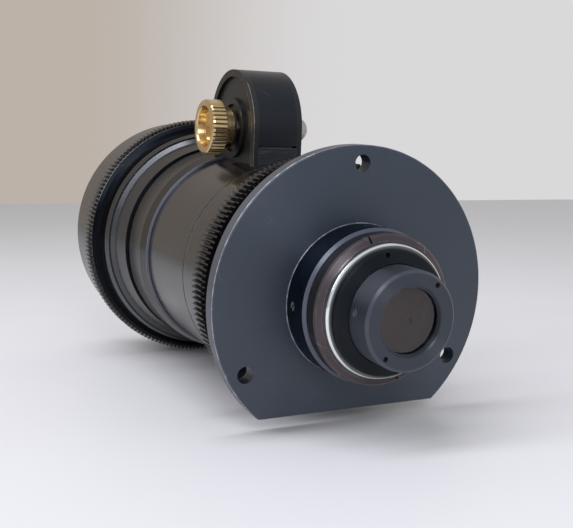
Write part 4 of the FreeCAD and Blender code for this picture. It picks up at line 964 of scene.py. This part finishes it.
@dataclass
class Studio:
    """A pale table that the lens lies on, soft lamps and a plain pale background.

    The lowest teeth of the two rings are given by their place along the lens and their height.
    """

    iris_teeth: tuple[float, float] = (32.0 * MM, -56.8 * MM)
    focus_teeth: tuple[float, float] = (180.4 * MM, -68.8 * MM)
    table_size: float = 6.0
    table_colour: Colour = (0.80, 0.795, 0.79)
    wall: Colour = (0.50, 0.445, 0.395)
    white_wall: Colour = (0.70, 0.69, 0.70)
    behind: Colour = (0.67, 0.74, 0.84)
    ambient: float = 0.54
    table_shade: float = 0.94
    gap: float = 0.03 * MM
    lamps: tuple[Lamp, ...] = (
        Lamp("window", (-0.66, 0.12, 0.98), (0.26, 1.7), 12.0, (0.88, 0.89, 1.0)),
        Lamp("high", (-0.34, -1.0, 0.66), (0.40, 0.40), 5.2, (0.90, 0.91, 1.0)),
    )

    def build(self) -> None:
        """Builds the table, the lamps and the background."""
        self.table()
        for lamp in self.lamps:
            self.hang(lamp)
        self.world()

    def table(self) -> None:
        """Builds the table top under the iris teeth and the focus teeth, on which the lens lies."""
        rise = self.focus_teeth[1] - self.iris_teeth[1]
        slope = math.atan2(rise, self.focus_teeth[0] - self.iris_teeth[0])
        deselect()
        bpy.ops.mesh.primitive_plane_add(size=self.table_size)
        top = bpy.context.object
        top.name = "table_top"
        under = (0, self.iris_teeth[0], self.iris_teeth[1] - self.gap)
        top.matrix_world = Matrix.Translation(under) @ Matrix.Rotation(slope, 4, "X")
        select([top])
        bpy.ops.object.transform_apply(location=True, rotation=True, scale=True)
        graph = Graph("table_white")
        cloud = graph.noise(graph.place(), 7.0, 3.0)
        darker = tuple(self.table_shade * part for part in self.table_colour)
        graph.join(graph.mix(cloud, self.table_colour, darker), graph.shader.inputs["Base Color"])
        graph.shader.inputs["Roughness"].default_value = 0.5
        top.data.materials.append(graph.material)

    def hang(self, lamp: Lamp) -> None:
        """Adds a lamp that looks at the lens.

        Args:
            lamp: the lamp to add; its first side lies level and its second one leans upwards.
        """
        data = bpy.data.lights.new(lamp.name, "AREA")
        data.shape = "RECTANGLE"
        data.size, data.size_y = lamp.size
        data.energy = lamp.power
        data.color = lamp.colour
        hung = bpy.data.objects.new(lamp.name, data)
        bpy.context.scene.collection.objects.link(hung)
        hung.location = lamp.place
        hung.rotation_euler = (Vector((0, 0.09, 0)) - Vector(lamp.place)).to_track_quat("-Z", "Y").to_euler()

    def world(self) -> None:
        """Makes the room: a warm wall on the left, a white one ahead, a cooler side behind the camera."""
        world = bpy.data.worlds.new("studio")
        bpy.context.scene.world = world
        world.use_nodes = True
        nodes, links = world.node_tree.nodes, world.node_tree.links
        way = nodes.new("ShaderNodeSeparateXYZ")
        links.new(nodes.new("ShaderNodeTexCoord").outputs["Generated"], way.inputs[0])
        ahead = self.blend(world, way.outputs[0], (0.22, 0.50), self.wall, self.white_wall)
        room = self.blend(world, way.outputs[1], (0.15, -0.25), ahead, self.behind)
        seen = nodes["Background"]
        links.new(room, seen.inputs["Color"])
        seen.inputs["Strength"].default_value = 1.0
        light = nodes.new("ShaderNodeBackground")
        light.inputs["Color"].default_value = (0.96, 0.97, 1.0, 1)
        light.inputs["Strength"].default_value = self.ambient
        path = nodes.new("ShaderNodeLightPath")
        rays = nodes.new("ShaderNodeMath")
        rays.operation = "MAXIMUM"
        links.new(path.outputs["Is Camera Ray"], rays.inputs[0])
        links.new(path.outputs["Is Transmission Ray"], rays.inputs[1])
        both = nodes.new("ShaderNodeMath")
        both.operation = "MAXIMUM"
        links.new(rays.outputs[0], both.inputs[0])
        links.new(path.outputs["Is Glossy Ray"], both.inputs[1])
        mix = nodes.new("ShaderNodeMixShader")
        links.new(both.outputs[0], mix.inputs[0])
        links.new(light.outputs[0], mix.inputs[1])
        links.new(seen.outputs[0], mix.inputs[2])
        links.new(mix.outputs[0], nodes["World Output"].inputs["Surface"])

    def blend(
            self, world: bpy.types.World, value: object, ends: tuple[float, float], first: object,
            second: object) -> Socket:
        """Blends two colours of the room along one way.

        Args:
            world: the world that gets the nodes.
            value: how far along the way a direction lies.
            ends: where the first colour ends and where the second begins.
            first: a colour or a socket.
            second: a colour or a socket.

        Returns:
            The blended colour.
        """
        nodes, links = world.node_tree.nodes, world.node_tree.links
        share = nodes.new("ShaderNodeMapRange")
        share.interpolation_type = "SMOOTHSTEP"
        links.new(value, share.inputs[0])
        share.inputs[1].default_value, share.inputs[2].default_value = ends
        mix = nodes.new("ShaderNodeMix")
        mix.data_type = "RGBA"
        links.new(share.outputs[0], mix.inputs["Factor"])
        for name, colour in (("A", first), ("B", second)):
            socket = next(s for s in mix.inputs if s.name == name and s.type == "RGBA")
            if isinstance(colour, Socket):
                links.new(colour, socket)
            else:
                socket.default_value = (*colour, 1)
        return next(o for o in mix.outputs if o.type == "RGBA")


@dataclass
class StudioCamera:
    """The camera behind the lens, on its left and a little above it."""

    place: tuple[float, float, float] = (-0.185518, -0.309571, 0.075885)
    right: tuple[float, float, float] = (0.89912334, -0.43578845, 0.04081231)
    above: tuple[float, float, float] = (0.04013424, 0.17493627, 0.98376143)
    ahead: tuple[float, float, float] = (0.43585142, 0.88288489, -0.17477932)
    lens: float = 55.326
    shift: float = 4.0 / 573.0

    def build(self) -> None:
        """Adds the camera and makes it the scene's own."""
        data = bpy.data.cameras.new("studio_camera")
        data.sensor_width = SENSOR_WIDTH
        data.lens = self.lens
        data.shift_y = self.shift
        data.clip_start = 0.01
        data.clip_end = 50.0
        camera = bpy.data.objects.new("studio_camera", data)
        bpy.context.scene.collection.objects.link(camera)
        turn = Matrix((self.right, self.above, [-part for part in self.ahead])).transposed()
        camera.matrix_world = Matrix.Translation(self.place) @ turn.to_quaternion().to_matrix().to_4x4()
        bpy.context.scene.camera = camera


def main() -> None:
    """Dresses the lens, adds its fine pieces and sets up the studio."""
    logging.basicConfig(level=logging.INFO, format="%(name)s: %(message)s")
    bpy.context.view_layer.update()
    bpy.context.scene.view_settings.view_transform = "Standard"
    StudioCamera().build()
    materials = FinishBook().dress(frame["nodes"])
    LOG.info("finishes on %d nodes", len(frame["nodes"]))
    for piece in RearScrews().build(materials["screw_steel"]):
        LOG.info("built %s", piece.name)
    LOG.info("built %s", FrontThread().build(materials["inner_black"]).name)
    Studio().build()


if __name__ == "__main__":
    main()
